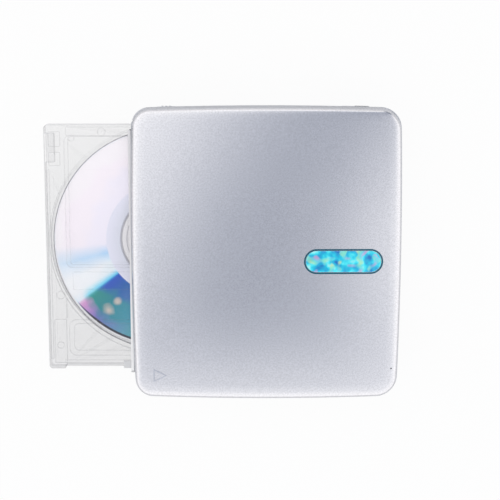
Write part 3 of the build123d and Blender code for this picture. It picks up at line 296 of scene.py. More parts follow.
@dataclass(frozen=True)
class Grained:
    """Opaque finish with fine grain: satin metal, moulded plastic, lacquer, rubber."""

    name: str
    colour: Colour
    roughness: float = 0.4
    metallic: float = 0.0
    cell: float = 0.2 * MM
    depth: float = 0.004 * MM
    shade: float = 0.04
    cloud_shade: float = 0.02
    coat: float = 0.0
    coat_roughness: float = 0.1
    cloud_cells: float = 60.0
    cloud_share: float = 0.35
    rough_spread: float = 0.05
    marks: Span = (0.38, 0.62)

    def material(self) -> bpy.types.Material:
        """Builds the material.

        Returns:
            The material.
        """
        bench = NodeBench.for_material(self.name)
        grain = bench.noise(self.cell)
        cloud = bench.noise(self.cell * self.cloud_cells, 1.0)
        fine = bench.ramp(grain, self.tones(self.shade))
        broad = bench.ramp(cloud, self.tones(self.cloud_shade))
        smoother, rougher = (self.roughness * (1 + side * self.rough_spread) for side in (-1, 1))
        shader = bench.add("BsdfPrincipled", Metallic=self.metallic, Coat_Weight=self.coat,
                           Coat_Roughness=self.coat_roughness)
        bench.link(bench.mix(self.cloud_share, fine, broad), shader.inputs["Base Color"])
        bench.link(bench.spread(cloud, smoother, rougher), shader.inputs["Roughness"])
        bench.link(bench.bump(grain, self.depth), shader.inputs["Normal"])
        return bench.finish(shader)

    def tones(self, shade: float) -> Stops:
        """Ramp stops a shade darker and a shade lighter than the colour.

        Args:
            shade: The difference, as a share of the colour.

        Returns:
            The two stops.
        """
        dark = tuple(channel * (1 - shade) for channel in self.colour)
        light = tuple(min(1.0, channel * (1 + shade)) for channel in self.colour)
        return list(zip(self.marks, (dark, light)))


@dataclass(frozen=True)
class Clear:
    """Clear moulded plastic, faintly hazy, and denser where its faces turn away; the haze can also thicken
    towards -Y as painted shade.
    """

    name: str
    colour: Colour
    haze: float = 0.07
    edge: float = 0.55
    roughness: float = 0.12
    near_painted_shade: float = 1.0
    reach: Span = (-32.0, 36.0)
    shade: float = 0.06
    marks: Span = (0.3, 0.7)
    rough_rise: float = 1.3
    cell: float = 5 * MM
    depth: float = 0.02 * MM
    index: float = 1.49
    turning: float = 0.3

    def material(self) -> bpy.types.Material:
        """Builds the material.

        Returns:
            The material.
        """
        bench = NodeBench.for_material(self.name)
        cloud = bench.noise(self.cell)
        dark = tuple(channel * (1 - self.shade) for channel in self.colour)
        tints = list(zip(self.marks, (dark, self.colour)))
        rougher = self.roughness * self.rough_rise
        shader = bench.add("BsdfPrincipled", IOR=self.index)
        bench.link(bench.ramp(cloud, tints), shader.inputs["Base Color"])
        bench.link(bench.spread(cloud, self.roughness, rougher), shader.inputs["Roughness"])
        bench.link(bench.bump(cloud, self.depth), shader.inputs["Normal"])
        _, along, _ = bench.axes(bench.place(1 / MM))
        # Painted shade: the grey haze thickens towards -Y.
        haze_and_painted_shade = bench.spread(along, self.haze * self.near_painted_shade, self.haze, *self.reach)
        facing = bench.add("LayerWeight", Blend=self.turning)
        turned = bench.spread(facing.outputs["Facing"], 0.0, self.edge - self.haze)
        bench.link(bench.maths("ADD", haze_and_painted_shade, turned), shader.inputs["Alpha"])
        return bench.finish(shader)


@dataclass(frozen=True)
class PaintedShadeRamp:
    """Satin moulding with painted shade: its tone runs from one end to the other along Y."""

    name: str
    far: Colour
    near: Colour
    reach: Span = (-14.0, 12.0)
    roughness: float = 0.35
    cell: float = 0.2 * MM
    depth: float = 0.003 * MM

    def material(self) -> bpy.types.Material:
        """Builds the material.

        Returns:
            The material.
        """
        bench = NodeBench.for_material(self.name)
        _, along, _ = bench.axes(bench.place(1 / MM))
        shader = bench.add("BsdfPrincipled", Roughness=self.roughness)
        shade_along = bench.ramp(bench.spread(along, 0.0, 1.0, *self.reach), [(0.0, self.near), (1.0, self.far)])
        bench.link(shade_along, shader.inputs["Base Color"])
        bench.link(bench.bump(bench.noise(self.cell), self.depth), shader.inputs["Normal"])
        return bench.finish(shader)


@dataclass(frozen=True)
class RainbowDisc:
    """Reflective disc layer: bands of colour turn about the centre, with plain tones round the hub.

    The bands, their bright and dark edges and the pale sparks are a painted diffraction reflection, fixed on
    the disc. The eight values of a band or border run round the disc: back, front, blue band, bright band,
    bright edge, dark edge, dark band, fading band. Radii and widths are in millimetres.
    """

    name: str
    centre: Point = (-30.1 * MM, 4.4 * MM, 11.9 * MM)
    radius: float = 32.0
    clamp_ring: float = 12.2
    clamp_line: Span = (0.256, 0.64)
    hub_tones: tuple[Colour, ...] = (
        tone(232, 232, 234), tone(240, 238, 238), tone(128, 126, 134), tone(226, 228, 238),
        tone(236, 236, 248), tone(240, 240, 250))
    data_start: float = 16.7
    data_end: float = 31.72
    soft_edge: float = 0.1
    noise_marks: Span = (0.3, 0.7)
    # Painted diffraction reflection: the colours of each band round the disc.
    bands: tuple[tuple[Colour, ...], ...] = (
        (tone(244, 242, 252), tone(250, 245, 254), tone(185, 222, 252), tone(244, 252, 255),
         tone(60, 212, 250), tone(0, 75, 195), tone(0, 100, 180), tone(90, 140, 195)),
        (tone(246, 246, 254), tone(255, 247, 252), tone(200, 228, 252), tone(252, 254, 255),
         tone(120, 228, 250), tone(0, 150, 140), tone(0, 138, 150), tone(70, 165, 188)),
        (tone(246, 246, 252), tone(255, 250, 252), tone(222, 238, 252), tone(254, 255, 255),
         tone(236, 246, 254), tone(230, 165, 215), tone(110, 115, 195), tone(85, 170, 185)),
    )
    band_blends: tuple[Span, ...] = ((20.0, 23.5), (26.5, 29.5))
    border: tuple[Colour, ...] = (
        tone(240, 241, 246), tone(248, 248, 252), tone(235, 242, 250), tone(254, 254, 255),
        tone(200, 232, 246), tone(90, 80, 130), tone(4, 10, 24), tone(16, 34, 52))
    border_widths: tuple[float, ...] = (0.0, 0.0, 0.0, 0.0, 0.0, 0.045, 0.45, 0.45)
    border_blend: Span = (0.25, 0.1)
    margin: Colour = tone(252, 252, 255)
    margin_blend: float = 0.12
    # Pale spots of painted reflection: the centre and the radius of each.
    sparks: tuple[tuple[Span, float], ...] = (((16.4, 21.5), 1.75), ((13.9, 18.7), 1.15))
    spark_colour: Colour = tone(222, 205, 190)
    spark_strength: float = 0.85
    spark_blend: Span = (0.25, 1.15)
    spark_rag: float = 0.35
    spark_cell: float = 4 * MM
    wander: float = 3.5
    wander_cell: float = 9 * MM
    track_waves: float = 60.0
    track_depth: float = 0.001 * MM

    def material(self) -> bpy.types.Material:
        """Builds the material.

        Returns:
            The material.
        """
        bench = NodeBench.for_material(self.name)
        across, along, _ = bench.axes(bench.place(1 / MM, self.centre))
        west, south = (bench.maths("MULTIPLY", axis, -1.0) for axis in (across, along))
        turn = bench.spread(bench.maths("ARCTAN2", south, west), 0.0, 1.0, -math.pi, math.pi)
        radius = bench.distance(west, south)
        colour = self.data(bench, turn, radius)
        for centre, reach in self.sparks:
            colour = bench.mix(self.spot(bench, (west, south), centre, reach), colour, self.spark_colour)
        colour = self.edge(bench, turn, radius, self.hub(bench, radius, colour))
        # Painted glow: the layer emits its own colours, so it shines brighter than its lighting makes it.
        shader = bench.add(
            "BsdfPrincipled", Roughness=0.22, Metallic=0.4, Specular_IOR_Level=0.2, Emission_Strength=0.30)
        bench.link(colour, shader.inputs["Base Color"])
        bench.link(colour, shader.inputs["Emission Color"])
        tracks = bench.maths("SINE", bench.maths("MULTIPLY", radius, self.track_waves))
        bench.link(bench.bump(tracks, self.track_depth), shader.inputs["Normal"])
        return bench.finish(shader)

    def data(self, bench: NodeBench, turn: Socket, radius: Socket) -> Socket:
        """Colours of the data area, from the inner band to the outer one.

        Args:
            bench: The material's bench.
            turn: Angle round the centre, 0 to 1.
            radius: Distance from the centre.

        Returns:
            The colour socket.
        """
        blotch = bench.spread(bench.noise(self.wander_cell), -self.wander, self.wander, *self.noise_marks)
        wandering = bench.maths("ADD", radius, blotch)
        colour, *further = (bench.ramp(turn, self.around(band)) for band in self.bands)
        for (start, end), band in zip(self.band_blends, further):
            colour = bench.mix(bench.spread(wandering, 0.0, 1.0, start, end), colour, band)
        return colour

    def hub(self, bench: NodeBench, radius: Socket, colour: Socket) -> Socket:
        """Lays the plain tones inside the data area, with a dark line at the clamp ring.

        Args:
            bench: The material's bench.
            radius: Distance from the centre.
            colour: The data area's colour.

        Returns:
            The colour socket.
        """
        inner, outer = self.clamp_line
        places = (0.0, self.clamp_ring - inner, self.clamp_ring, self.clamp_ring + outer,
                  self.radius / 2, self.radius)
        stops = [(place / self.radius, shade) for place, shade in zip(places, self.hub_tones)]
        rings = bench.ramp(bench.spread(radius, 0.0, 1.0, 0.0, self.radius), stops)
        start, end = self.data_start - self.soft_edge, self.data_start + self.soft_edge
        return bench.mix(bench.spread(radius, 1.0, 0.0, start, end), colour, rings)

    def edge(self, bench: NodeBench, turn: Socket, radius: Socket, colour: Socket) -> Socket:
        """Ends the data area with a border of changing width, then the clear margin.

        Args:
            bench: The material's bench.
            turn: Angle round the centre, 0 to 1.
            radius: Distance from the centre.
            colour: The colour inside.

        Returns:
            The colour socket.
        """
        border = bench.ramp(turn, self.around(self.border))
        reach = bench.maths("ADD", radius, bench.curve(turn, self.around(self.border_widths)))
        start, end = (self.data_end - step for step in self.border_blend)
        colour = bench.mix(bench.spread(reach, 0.0, 1.0, start, end), colour, border)
        outside = bench.spread(radius, 0.0, 1.0, self.data_end, self.data_end + self.margin_blend)
        return bench.mix(outside, colour, self.margin)

    def spot(self, bench: NodeBench, place: tuple[Socket, Socket], centre: Span, reach: float) -> Socket:
        """Soft round mask.

        Args:
            bench: The material's bench.
            place: West and south of the disc's centre.
            centre: The mask's centre in the same directions.
            reach: Its radius.

        Returns:
            The mask, near 1 in the middle and 0 outside.
        """
        legs = [bench.maths("SUBTRACT", axis, value) for axis, value in zip(place, centre)]
        rag = self.spark_rag * reach
        rough = bench.spread(bench.noise(self.spark_cell, 1.0), -rag, rag, *self.noise_marks)
        ragged = bench.maths("ADD", bench.distance(*legs), rough)
        start, end = (reach * share for share in self.spark_blend)
        return bench.spread(ragged, self.spark_strength, 0.0, start, end)

    def around(self, values: tuple) -> list[tuple]:
        """Places eight values round the circle, by degrees past the side that leaves the player.

        Args:
            values: A value for each of the places that the class names.

        Returns:
            Ramp stops over a full turn.
        """
        back, front, blue, bright, lit, dark, deep, fading = values
        degrees = (
            (-180, back), (-100, front), (-15, front), (5, front), (14, blue), (24, bright), (32, bright),
            (37.2, lit), (38.2, dark), (50, deep), (70, fading), (110, back), (180, back))
        return [((angle + 180) / 360, value) for angle, value in degrees]


@dataclass(frozen=True)
class Pearl:
    """Iridescent inlay: soft waves between a main tint, deeper tints and pastel sparks, with a painted glow.
    """

    name: str
    wave: float = 2.4 * MM
    depth: float = 0.12 * MM
    waves: Stops = (
        (0.28, tone(0, 120, 195)), (0.38, tone(0, 170, 220)), (0.50, tone(0, 205, 235)),
        (0.62, tone(70, 238, 250)), (0.76, tone(170, 250, 248)))
    pastels: Stops = (
        (0.30, tone(225, 235, 150)), (0.40, tone(150, 235, 195)), (0.52, tone(120, 220, 235)),
        (0.62, tone(210, 165, 215)), (0.72, tone(235, 150, 175)))
    pastel_cell: float = 2.4 * MM / 0.7
    pastel_centre: Point = (3 * MM, 7 * MM, 0.0)
    spark_cell: float = 2.4 * MM * 0.9
    spark_strength: float = 0.75
    spark_marks: Span = (0.50, 0.64)

    def material(self) -> bpy.types.Material:
        """Builds the material.

        Returns:
            The material.
        """
        bench = NodeBench.for_material(self.name)
        swell = bench.noise(self.wave, 1.5)
        pastel = bench.ramp(bench.noise(self.pastel_cell, 0.0, self.pastel_centre), self.pastels)
        spots = bench.noise(self.spark_cell, 0.0)
        sparks = bench.spread(spots, 0.0, self.spark_strength, *self.spark_marks)
        colour = bench.mix(sparks, bench.ramp(swell, self.waves), pastel)
        # Painted glow: the inlay emits its own colours.
        shader = bench.add(
            "BsdfPrincipled", Roughness=0.2, Metallic=0.25, Coat_Weight=1.0, Coat_Roughness=0.05,
            Emission_Strength=0.12)
        bench.link(colour, shader.inputs["Base Color"])
        bench.link(colour, shader.inputs["Emission Color"])
        bench.link(bench.bump(swell, self.depth), shader.inputs["Normal"])
        return bench.finish(shader)


class Paint(Enum):
    """Finishes of the player's pieces."""

    LID = Grained(
        "blasted_lid", (0.866, 0.857, 0.876), roughness=0.17, metallic=1.0, cell=0.45 * MM,
        depth=0.003 * MM, shade=0.08, cloud_shade=0.008)
    CASE = Grained(
        "satin_case", (0.70, 0.71, 0.735), roughness=0.34, metallic=1.0, cell=0.25 * MM, depth=0.005 * MM)
    KEY = Grained(
        "silver_lacquer", (0.72, 0.73, 0.76), roughness=0.3, metallic=0.8, cell=0.15 * MM,
        depth=0.002 * MM, shade=0.03)
    DARK = Grained(
        "dark_moulding", (0.035, 0.035, 0.04), roughness=0.45, cell=0.15 * MM, depth=0.006 * MM, shade=0.1)
    TRIM = Grained(
        "trim_moulding", (0.55, 0.56, 0.59), roughness=0.35, metallic=0.3, depth=0.003 * MM, shade=0.03)
    TAB = Grained("tab_moulding", (0.78, 0.78, 0.80))
    STEEL = Grained(
        "bright_steel", (0.60, 0.60, 0.61), roughness=0.25, metallic=1.0, cell=0.3 * MM,
        depth=0.002 * MM, shade=0.05)
    CAST = Grained(
        "die_cast", (0.42, 0.42, 0.44), roughness=0.5, metallic=1.0, cell=0.5 * MM, depth=0.01 * MM,
        shade=0.08)
    GOLD = Grained("plated_contact", (0.85, 0.62, 0.25), roughness=0.22, metallic=1.0)
    BOARD = Grained(
        "solder_mask", (0.02, 0.13, 0.05), roughness=0.35, cell=1.2 * MM, depth=0.01 * MM, shade=0.25,
        cloud_shade=0.1, coat=0.3)
    CHIP = Grained("chip_package", (0.02, 0.02, 0.022), roughness=0.5)
    RUBBER = Grained("black_rubber", (0.02, 0.02, 0.02), roughness=0.8)
    ACETAL = Grained("acetal", (0.82, 0.80, 0.72))
    COPPER = Grained("enamelled_copper", (0.62, 0.28, 0.12), roughness=0.3, metallic=0.9)
    CELL = Grained("cell_sleeve", (0.22, 0.25, 0.32), metallic=0.3)
    HUB = Grained("hub_moulding", (0.66, 0.66, 0.69), roughness=0.3)
    RIM = Grained("badge_rim", tone(25, 95, 115), roughness=0.2, metallic=0.3)
    # Partly a real polished finish, partly a painted highlight: lighter than the lid, so the embossed lines
    # read bright.
    MARK = Grained(
        "mark_polish_and_highlight", (0.93, 0.93, 0.95), roughness=0.12, metallic=1.0, cell=0.3 * MM, depth=0.002 * MM,
        shade=0.03)
    SHUTTER = Grained(
        "shutter_metal", (0.72, 0.72, 0.72), metallic=0.5, cell=0.3 * MM, depth=0.002 * MM, shade=0.05)
    # Painted shade: darker at the far end, lighter at the near end.
    LIP = PaintedShadeRamp("lip_moulding", far=(0.80, 0.79, 0.80), near=(0.94, 0.94, 0.94))
    PEARL = Pearl("badge_pearl")
    DISC = RainbowDisc("disc_layer")
    # The cartridge's haze thickens towards -Y as painted shade.
    CLEAR = Clear("clear_moulding", (0.42, 0.415, 0.445), haze=0.062, edge=0.45, near_painted_shade=1.75)
    CLEAR_EDGE = Clear("clear_relief", (0.50, 0.50, 0.53), haze=0.06, edge=0.27)
    CLEAR_TAB = Clear("clear_tab", (0.85, 0.85, 0.87), haze=0.02, edge=0.12)
    # Painted shade: a dark, dense copy of the clear plastic draws the dark edge line of the disc's well.
    WELL = Clear("well_line", (0.22, 0.22, 0.24), haze=0.42, edge=0.75)
    GLASS = Clear("lens_glass", (0.35, 0.40, 0.55), haze=0.35, edge=0.9, roughness=0.03)


CAD_PAINT: dict[str, Paint] = {
    "lid_metal": Paint.LID,
    "case_metal": Paint.CASE,
    "key_metal": Paint.KEY,
    "dark_plastic": Paint.DARK,
    "trim_plastic": Paint.TRIM,
    "clear_plastic": Paint.CLEAR,
    "tab_plastic": Paint.TAB,
    "disc_layer": Paint.DISC,
    "hub_plastic": Paint.HUB,
    "bright_steel": Paint.STEEL,
    "gold_contact": Paint.GOLD,
    "board_green": Paint.BOARD,
    "chip_black": Paint.CHIP,
    "rubber": Paint.RUBBER,
    "gear_plastic": Paint.ACETAL,
    "pinion_brass": Paint.GOLD,
    "coil_copper": Paint.COPPER,
    "cast_metal": Paint.CAST,
    "lens_glass": Paint.GLASS,
    "cell_can": Paint.CELL,
    "badge_rim": Paint.RIM,
    "badge_cyan": Paint.PEARL,
}
NODE_PAINT: dict[str, Paint] = {"protect_tab": Paint.CLEAR_TAB, "shutter": Paint.SHUTTER}


@dataclass
class PaintShop:
    """Builds each finish once and gives it to pieces."""

    made: dict[Paint, bpy.types.Material] = field(default_factory=dict)

    def coat(self, piece: Piece, paint: Paint) -> None:
        """Gives a piece one finish.

        Args:
            piece: The object.
            paint: Its finish.
        """
        if paint not in self.made:
            self.made[paint] = paint.value.material()
        piece.data.materials.clear()
        piece.data.materials.append(self.made[paint])

    def coat_frame(self) -> None:
        """Gives every CAD node the finish of its material slot."""
        for entry in frame["record"]["subparts"]:
            paint = NODE_PAINT.get(entry["node"], CAD_PAINT[entry["material_slot"]])
            self.coat(frame["nodes"][entry["node"]], paint)


class Wall(Enum):
    """Walls that a flat piece is stood up to face: the turn about Z, in degrees."""

    FAR = 180
    NEAR = 0


class Workbench:
    """Modelling steps as done by hand, each starting a fresh piece. All sizes are in millimetres."""

    MERGE_WITHIN = 0.002
    SMOOTH_BELOW = math.radians(40)
    EDGE_CUTS = 2
    CORNER_CUTS = 6
    CORNER_SHARE = 0.999

    def begin(self) -> None:
        """Deselects everything, so that operators act on the new piece alone."""
        bpy.ops.object.select_all(action="DESELECT")

    def settle(self, name: str) -> Piece:
        """Ends a piece: back to object mode, place applied, round faces smooth.

        Args:
            name: The piece's name.

        Returns:
            The piece.
        """
        bpy.ops.mesh.select_all(action="SELECT")
        bpy.ops.mesh.remove_doubles(threshold=self.MERGE_WITHIN * MM)
        bpy.ops.mesh.normals_make_consistent(inside=False)
        bpy.ops.object.mode_set(mode="OBJECT")
        piece = bpy.context.object
        piece.name = name
        piece.data.name = name
        bpy.ops.object.transform_apply(location=True, rotation=True, scale=True)
        bpy.ops.object.shade_smooth_by_angle(angle=self.SMOOTH_BELOW)
        return piece

    def block(self, name: str, x: Span, y: Span, z: Span, edge: float) -> Piece:
        """Block with every edge rounded.

        Args:
            name: The piece's name.
            x: Its reach along X.
            y: Its reach along Y.
            z: Its reach along Z.
            edge: Radius of the edges.

        Returns:
            The piece.
        """
        self.begin()
        middle = tuple((low + high) / 2 * MM for low, high in (x, y, z))
        bpy.ops.mesh.primitive_cube_add(size=MM, location=middle)
        bpy.ops.object.mode_set(mode="EDIT")
        bpy.ops.transform.resize(value=tuple(high - low for low, high in (x, y, z)))
        bpy.ops.mesh.bevel(offset=edge * MM, segments=self.EDGE_CUTS, affect="EDGES")
        return self.settle(name)

    def plate(self, name: str, x: Span, y: Span, z: Span, corner: float, wall: float = 0.0) -> Piece:
        """Plate with round corners, or only its rim.

        Args:
            name: The piece's name.
            x: Its reach along X.
            y: Its reach along Y.
            z: Its reach along Z.
            corner: Radius of the corners.
            wall: Width of the rim, or 0 for a whole plate.

        Returns:
            The piece.
        """
        self.begin()
        middle = ((x[0] + x[1]) / 2 * MM, (y[0] + y[1]) / 2 * MM, z[0] * MM)
        bpy.ops.mesh.primitive_plane_add(size=MM, location=middle)
        bpy.ops.object.mode_set(mode="EDIT")
        bpy.ops.transform.resize(value=(x[1] - x[0], y[1] - y[0], 1.0))
        radius = corner * self.CORNER_SHARE * MM
        bpy.ops.mesh.bevel(offset=radius, segments=self.CORNER_CUTS, affect="VERTICES")
        self.raise_outline(z[1] - z[0], wall)
        return self.settle(name)

    def ring(self, name: str, centre: Point, radius: float, height: float, wall: float,
             sides: int = 48) -> Piece:
        """Round disc or ring that stands on its centre's height.

        Args:
            name: The piece's name.
            centre: Its centre at the bottom.
            radius: Its outer radius.
            height: Its height.
            wall: Width of the ring, or 0 for a whole disc.
            sides: Number of sides.

        Returns:
            The piece.
        """
        self.begin()
        location = tuple(value * MM for value in centre)
        bpy.ops.mesh.primitive_circle_add(
            vertices=sides, radius=radius * MM, fill_type="NGON", location=location)
        bpy.ops.object.mode_set(mode="EDIT")
        self.raise_outline(height, wall)
        return self.settle(name)

    def arrowhead(self, name: str, foot: Point, size: float, turn: float, height: float, wall: float = 0.0,
                  stretch: float = 1.0) -> Piece:
        """Triangle with a point along +Y before its turn.

        Args:
            name: The piece's name.
            foot: Its centre at the bottom.
            size: Distance of its points from the centre.
            turn: Turn about Z, in degrees.
            height: Its height.
            wall: Width of the rim, or 0 for a whole triangle.
            stretch: Scale along X after the turn.

        Returns:
            The piece.
        """
        self.begin()
        bpy.ops.mesh.primitive_circle_add(
            vertices=3, radius=size * MM, fill_type="NGON", location=tuple(value * MM for value in foot),
            rotation=(0, 0, math.radians(turn)))
        bpy.ops.object.mode_set(mode="EDIT")
        bpy.ops.transform.resize(value=(stretch, 1, 1))
        self.raise_outline(height, wall)
        return self.settle(name)

    def raise_outline(self, height: float, wall: float) -> None:
        """Insets and opens the selected face if a wall is asked for, then extrudes it upwards.

        Args:
            height: How far it rises.
            wall: Width of the rim, or 0 to keep the face whole.
        """
        bpy.ops.mesh.select_all(action="SELECT")
        if wall > 0:
            bpy.ops.mesh.inset(thickness=wall * MM, use_even_offset=True)
            bpy.ops.mesh.delete(type="FACE")
            bpy.ops.mesh.select_all(action="SELECT")
        bpy.ops.mesh.extrude_region_move(TRANSFORM_OT_translate={"value": (0, 0, height * MM)})

    def thicken(self, piece: Piece, wall: float) -> None:
        """Gives an open shell its wall, inwards.

        Args:
            piece: The shell.
            wall: Wall thickness.
        """
        solid = piece.modifiers.new("wall", "SOLIDIFY")
        solid.thickness = wall * MM
        solid.offset = -1.0
        solid.use_even_offset = True
        bpy.context.view_layer.objects.active = piece
        bpy.ops.object.modifier_apply(modifier=solid.name)

    def subtract(self, piece: Piece, cutter: Piece) -> None:
        """Cuts one piece by another, which is used up.

        Args:
            piece: The piece that is cut.
            cutter: The shape that is taken away.
        """
        cut = piece.modifiers.new("cut", "BOOLEAN")
        cut.operation = "DIFFERENCE"
        cut.solver = "EXACT"
        cut.object = cutter
        bpy.context.view_layer.objects.active = piece
        bpy.ops.object.modifier_apply(modifier=cut.name)
        bpy.data.objects.remove(cutter, do_unlink=True)

    def join(self, name: str, pieces: list[Piece]) -> Piece:
        """Joins pieces of one moulding.

        Args:
            name: The moulding's name.
            pieces: What it is made of.

        Returns:
            The moulding.
        """
        self.begin()
        for piece in pieces:
            piece.select_set(True)
        bpy.context.view_layer.objects.active = pieces[0]
        bpy.ops.object.join()
        pieces[0].name = name
        pieces[0].data.name = name
        return pieces[0]

    def copies(self, piece: Piece, offsets: Sequence[Point]) -> list[Piece]:
        """Repeats a piece, each copy with its own mesh.

        Args:
            piece: The first one.
            offsets: The other places, measured from the first.

        Returns:
            The first one and its copies.
        """
        pieces = [piece]
        for offset in offsets:
            twin = piece.copy()
            twin.data = piece.data.copy()
            bpy.context.collection.objects.link(twin)
            self.shift(twin, offset)
            pieces.append(twin)
        return pieces

    def stand_up(self, piece: Piece, wall: Wall) -> None:
        """Turns a piece that was made flat at the origin so that its top faces a wall's outside.

        Args:
            piece: The piece, its top along +Z.
            wall: The wall that it goes on.
        """
        self.begin()
        piece.select_set(True)
        bpy.context.view_layer.objects.active = piece
        piece.rotation_euler = (math.radians(90), 0, math.radians(wall.value))
        bpy.ops.object.transform_apply(location=False, rotation=True, scale=False)

    def shift(self, piece: Piece, offset: Point) -> None:
        """Moves a piece's mesh.

        Args:
            piece: The piece, with its object at the origin.
            offset: How far it goes.
        """
        self.begin()
        piece.select_set(True)
        bpy.context.view_layer.objects.active = piece
        piece.location = tuple(value * MM for value in offset)
        bpy.ops.object.transform_apply(location=True, rotation=False, scale=False)


@dataclass
class Assembly:
    """A sub-assembly of the player: its pieces ride on one body."""

    bench: Workbench
    shop: PaintShop

    def mount(self, piece: Piece, body: str, slot: str, paint: Paint) -> None:
        """Dresses a piece and lets it ride.

        Args:
            piece: The piece.
            body: The CAD body that carries it.
            slot: The record's material slot; not used.
            paint: Its finish.
        """
        self.shop.coat(piece, paint)
        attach(piece, body)
        LOG.info("%s on %s", piece.name, body)


@dataclass
class CartridgeRelief(Assembly):
    """Moulded ribs, frames and bosses that show through the clear cartridge.

    A frame is given by its name, its reach along X and Y and its corner, a boss by its name, centre and
    radius, and a ring of the disc's well by its radius, height, wall and number of sides.
    """

    frames: tuple[tuple[str, Span, Span, float], ...] = (
        ("grip_square_north", (-62.9, -59.4), (31.5, 35.9), 0.3),
        ("grip_square_south", (-62.9, -59.5), (26.0, 30.0), 0.3),
        ("edge_rail", (-63.5, -62.6), (-31.4, 24.9), 0.4),
        ("north_rail", (-57.9, -6.0), (34.6, 37.3), 0.6),
        ("label_frame", (-58.4, -5.1), (-3.9, 34.7), 1.6),
        ("label_frame_inner", (-57.3, -6.2), (-3.1, 34.6), 1.2),
        ("lower_frame", (-56.7, -7.0), (-10.5, -5.1), 0.4),
        ("corner_frame", (-58.1, -7.0), (-30.4, -19.4), 2.2),
        ("corner_frame_inner", (-56.7, -8.0), (-28.9, -20.5), 1.6),
        ("corner_box", (-62.4, -58.7), (-32.6, -19.3), 0.4),
        ("west_rail", (-58.7, -58.4), (-19.0, -13.0), 0.1),
    )
    bosses: tuple[tuple[str, float, float, float], ...] = (
        ("boss_north", -47.5, 35.8, 1.25), ("boss_west", -56.2, 34.0, 1.0),
        ("boss_south", -60.6, -27.2, 1.1), ("boss_middle", -60.3, -12.1, 1.3))
    boss_sides: int = 24
    floor: float = 13.90
    rise: float = 0.40
    rib: float = 0.22
    under_shutter: float = 0.3
    well: Point = (-29.3, 3.9, 12.6)
    well_step: tuple[float, float, float, int] = (34.1, 1.0, 0.12, 160)
    well_wall: tuple[float, float, float, int] = (32.85, 0.3, 0.2, 200)

    def build(self) -> None:
        """Builds the relief of the shells, then the wall of the disc's well."""
        pieces = []
        for name, x, y, corner in self.frames:
            floor = self.floor_at(y[1])
            rib = min(self.rib, (x[1] - x[0]) / 3)
            pieces.append(self.bench.plate(name, x, y, (floor, floor + self.rise), corner, rib))
        for name, x, y, radius in self.bosses:
            centre = (x, y, self.floor_at(y))
            pieces.append(self.bench.ring(name, centre, radius, self.rise, self.rib, self.boss_sides))
        pieces.append(self.bench.ring("well_step", self.well, *self.well_step))
        relief = self.bench.join("cartridge_relief", pieces)
        self.mount(relief, "cartridge", "clear_plastic", Paint.CLEAR_EDGE)
        # The well's wall carries the dark painted-shade copy of the clear plastic.
        wall = self.bench.ring("well_wall", self.well, *self.well_wall)
        self.mount(wall, "cartridge", "clear_plastic", Paint.WELL)

    def floor_at(self, y: float) -> float:
        """Height of the relief's foot: lower in the near half, which the shutter passes over."""
        return self.floor - self.under_shutter if y < 0 else self.floor


@dataclass
class DiscTrim(Assembly):
    """Thin rings on the disc round its hub."""

    centre: Point = (-30.1, 4.4, 12.5)
    sides: int = 96
    rings: tuple[tuple[str, float, float, float], ...] = (
        ("disc_clamp_ring", 12.4, 0.12, 0.25), ("disc_inner_ring", 10.8, 0.10, 0.22))

    def build(self) -> None:
        """Builds the clamp ring and the ring inside it."""
        rings = [self.bench.ring(name, self.centre, radius, rise, width, self.sides)
                 for name, radius, rise, width in self.rings]
        self.mount(self.bench.join("disc_rings", rings), "disc_rotor", "hub_plastic", Paint.HUB)


@dataclass
class LipFace(Assembly):
    """Outer face of the slot's lip: two straight rails and the near post, outside the bowed wall."""

    x: Span = (-39.82, -38.95)
    y: Span = (-35.1, 36.2)
    z: Span = (9.0, 15.12)
    low_rail: float = 0.3
    high_rail: float = 0.6
    post: float = 0.6
    edge: float = 0.08

    def build(self) -> None:
        """Builds the rails and the post as one piece."""
        near, (foot, top) = self.y[0], self.z
        parts = ((self.y, (foot, foot + self.low_rail)), (self.y, (top - self.high_rail, top)),
                 ((near, near + self.post), self.z))
        bars = [self.bench.block("bar", self.x, y, z, self.edge) for y, z in parts]
        self.mount(self.bench.join("slot_lip_face", bars), "holder", "trim_plastic", Paint.LIP)


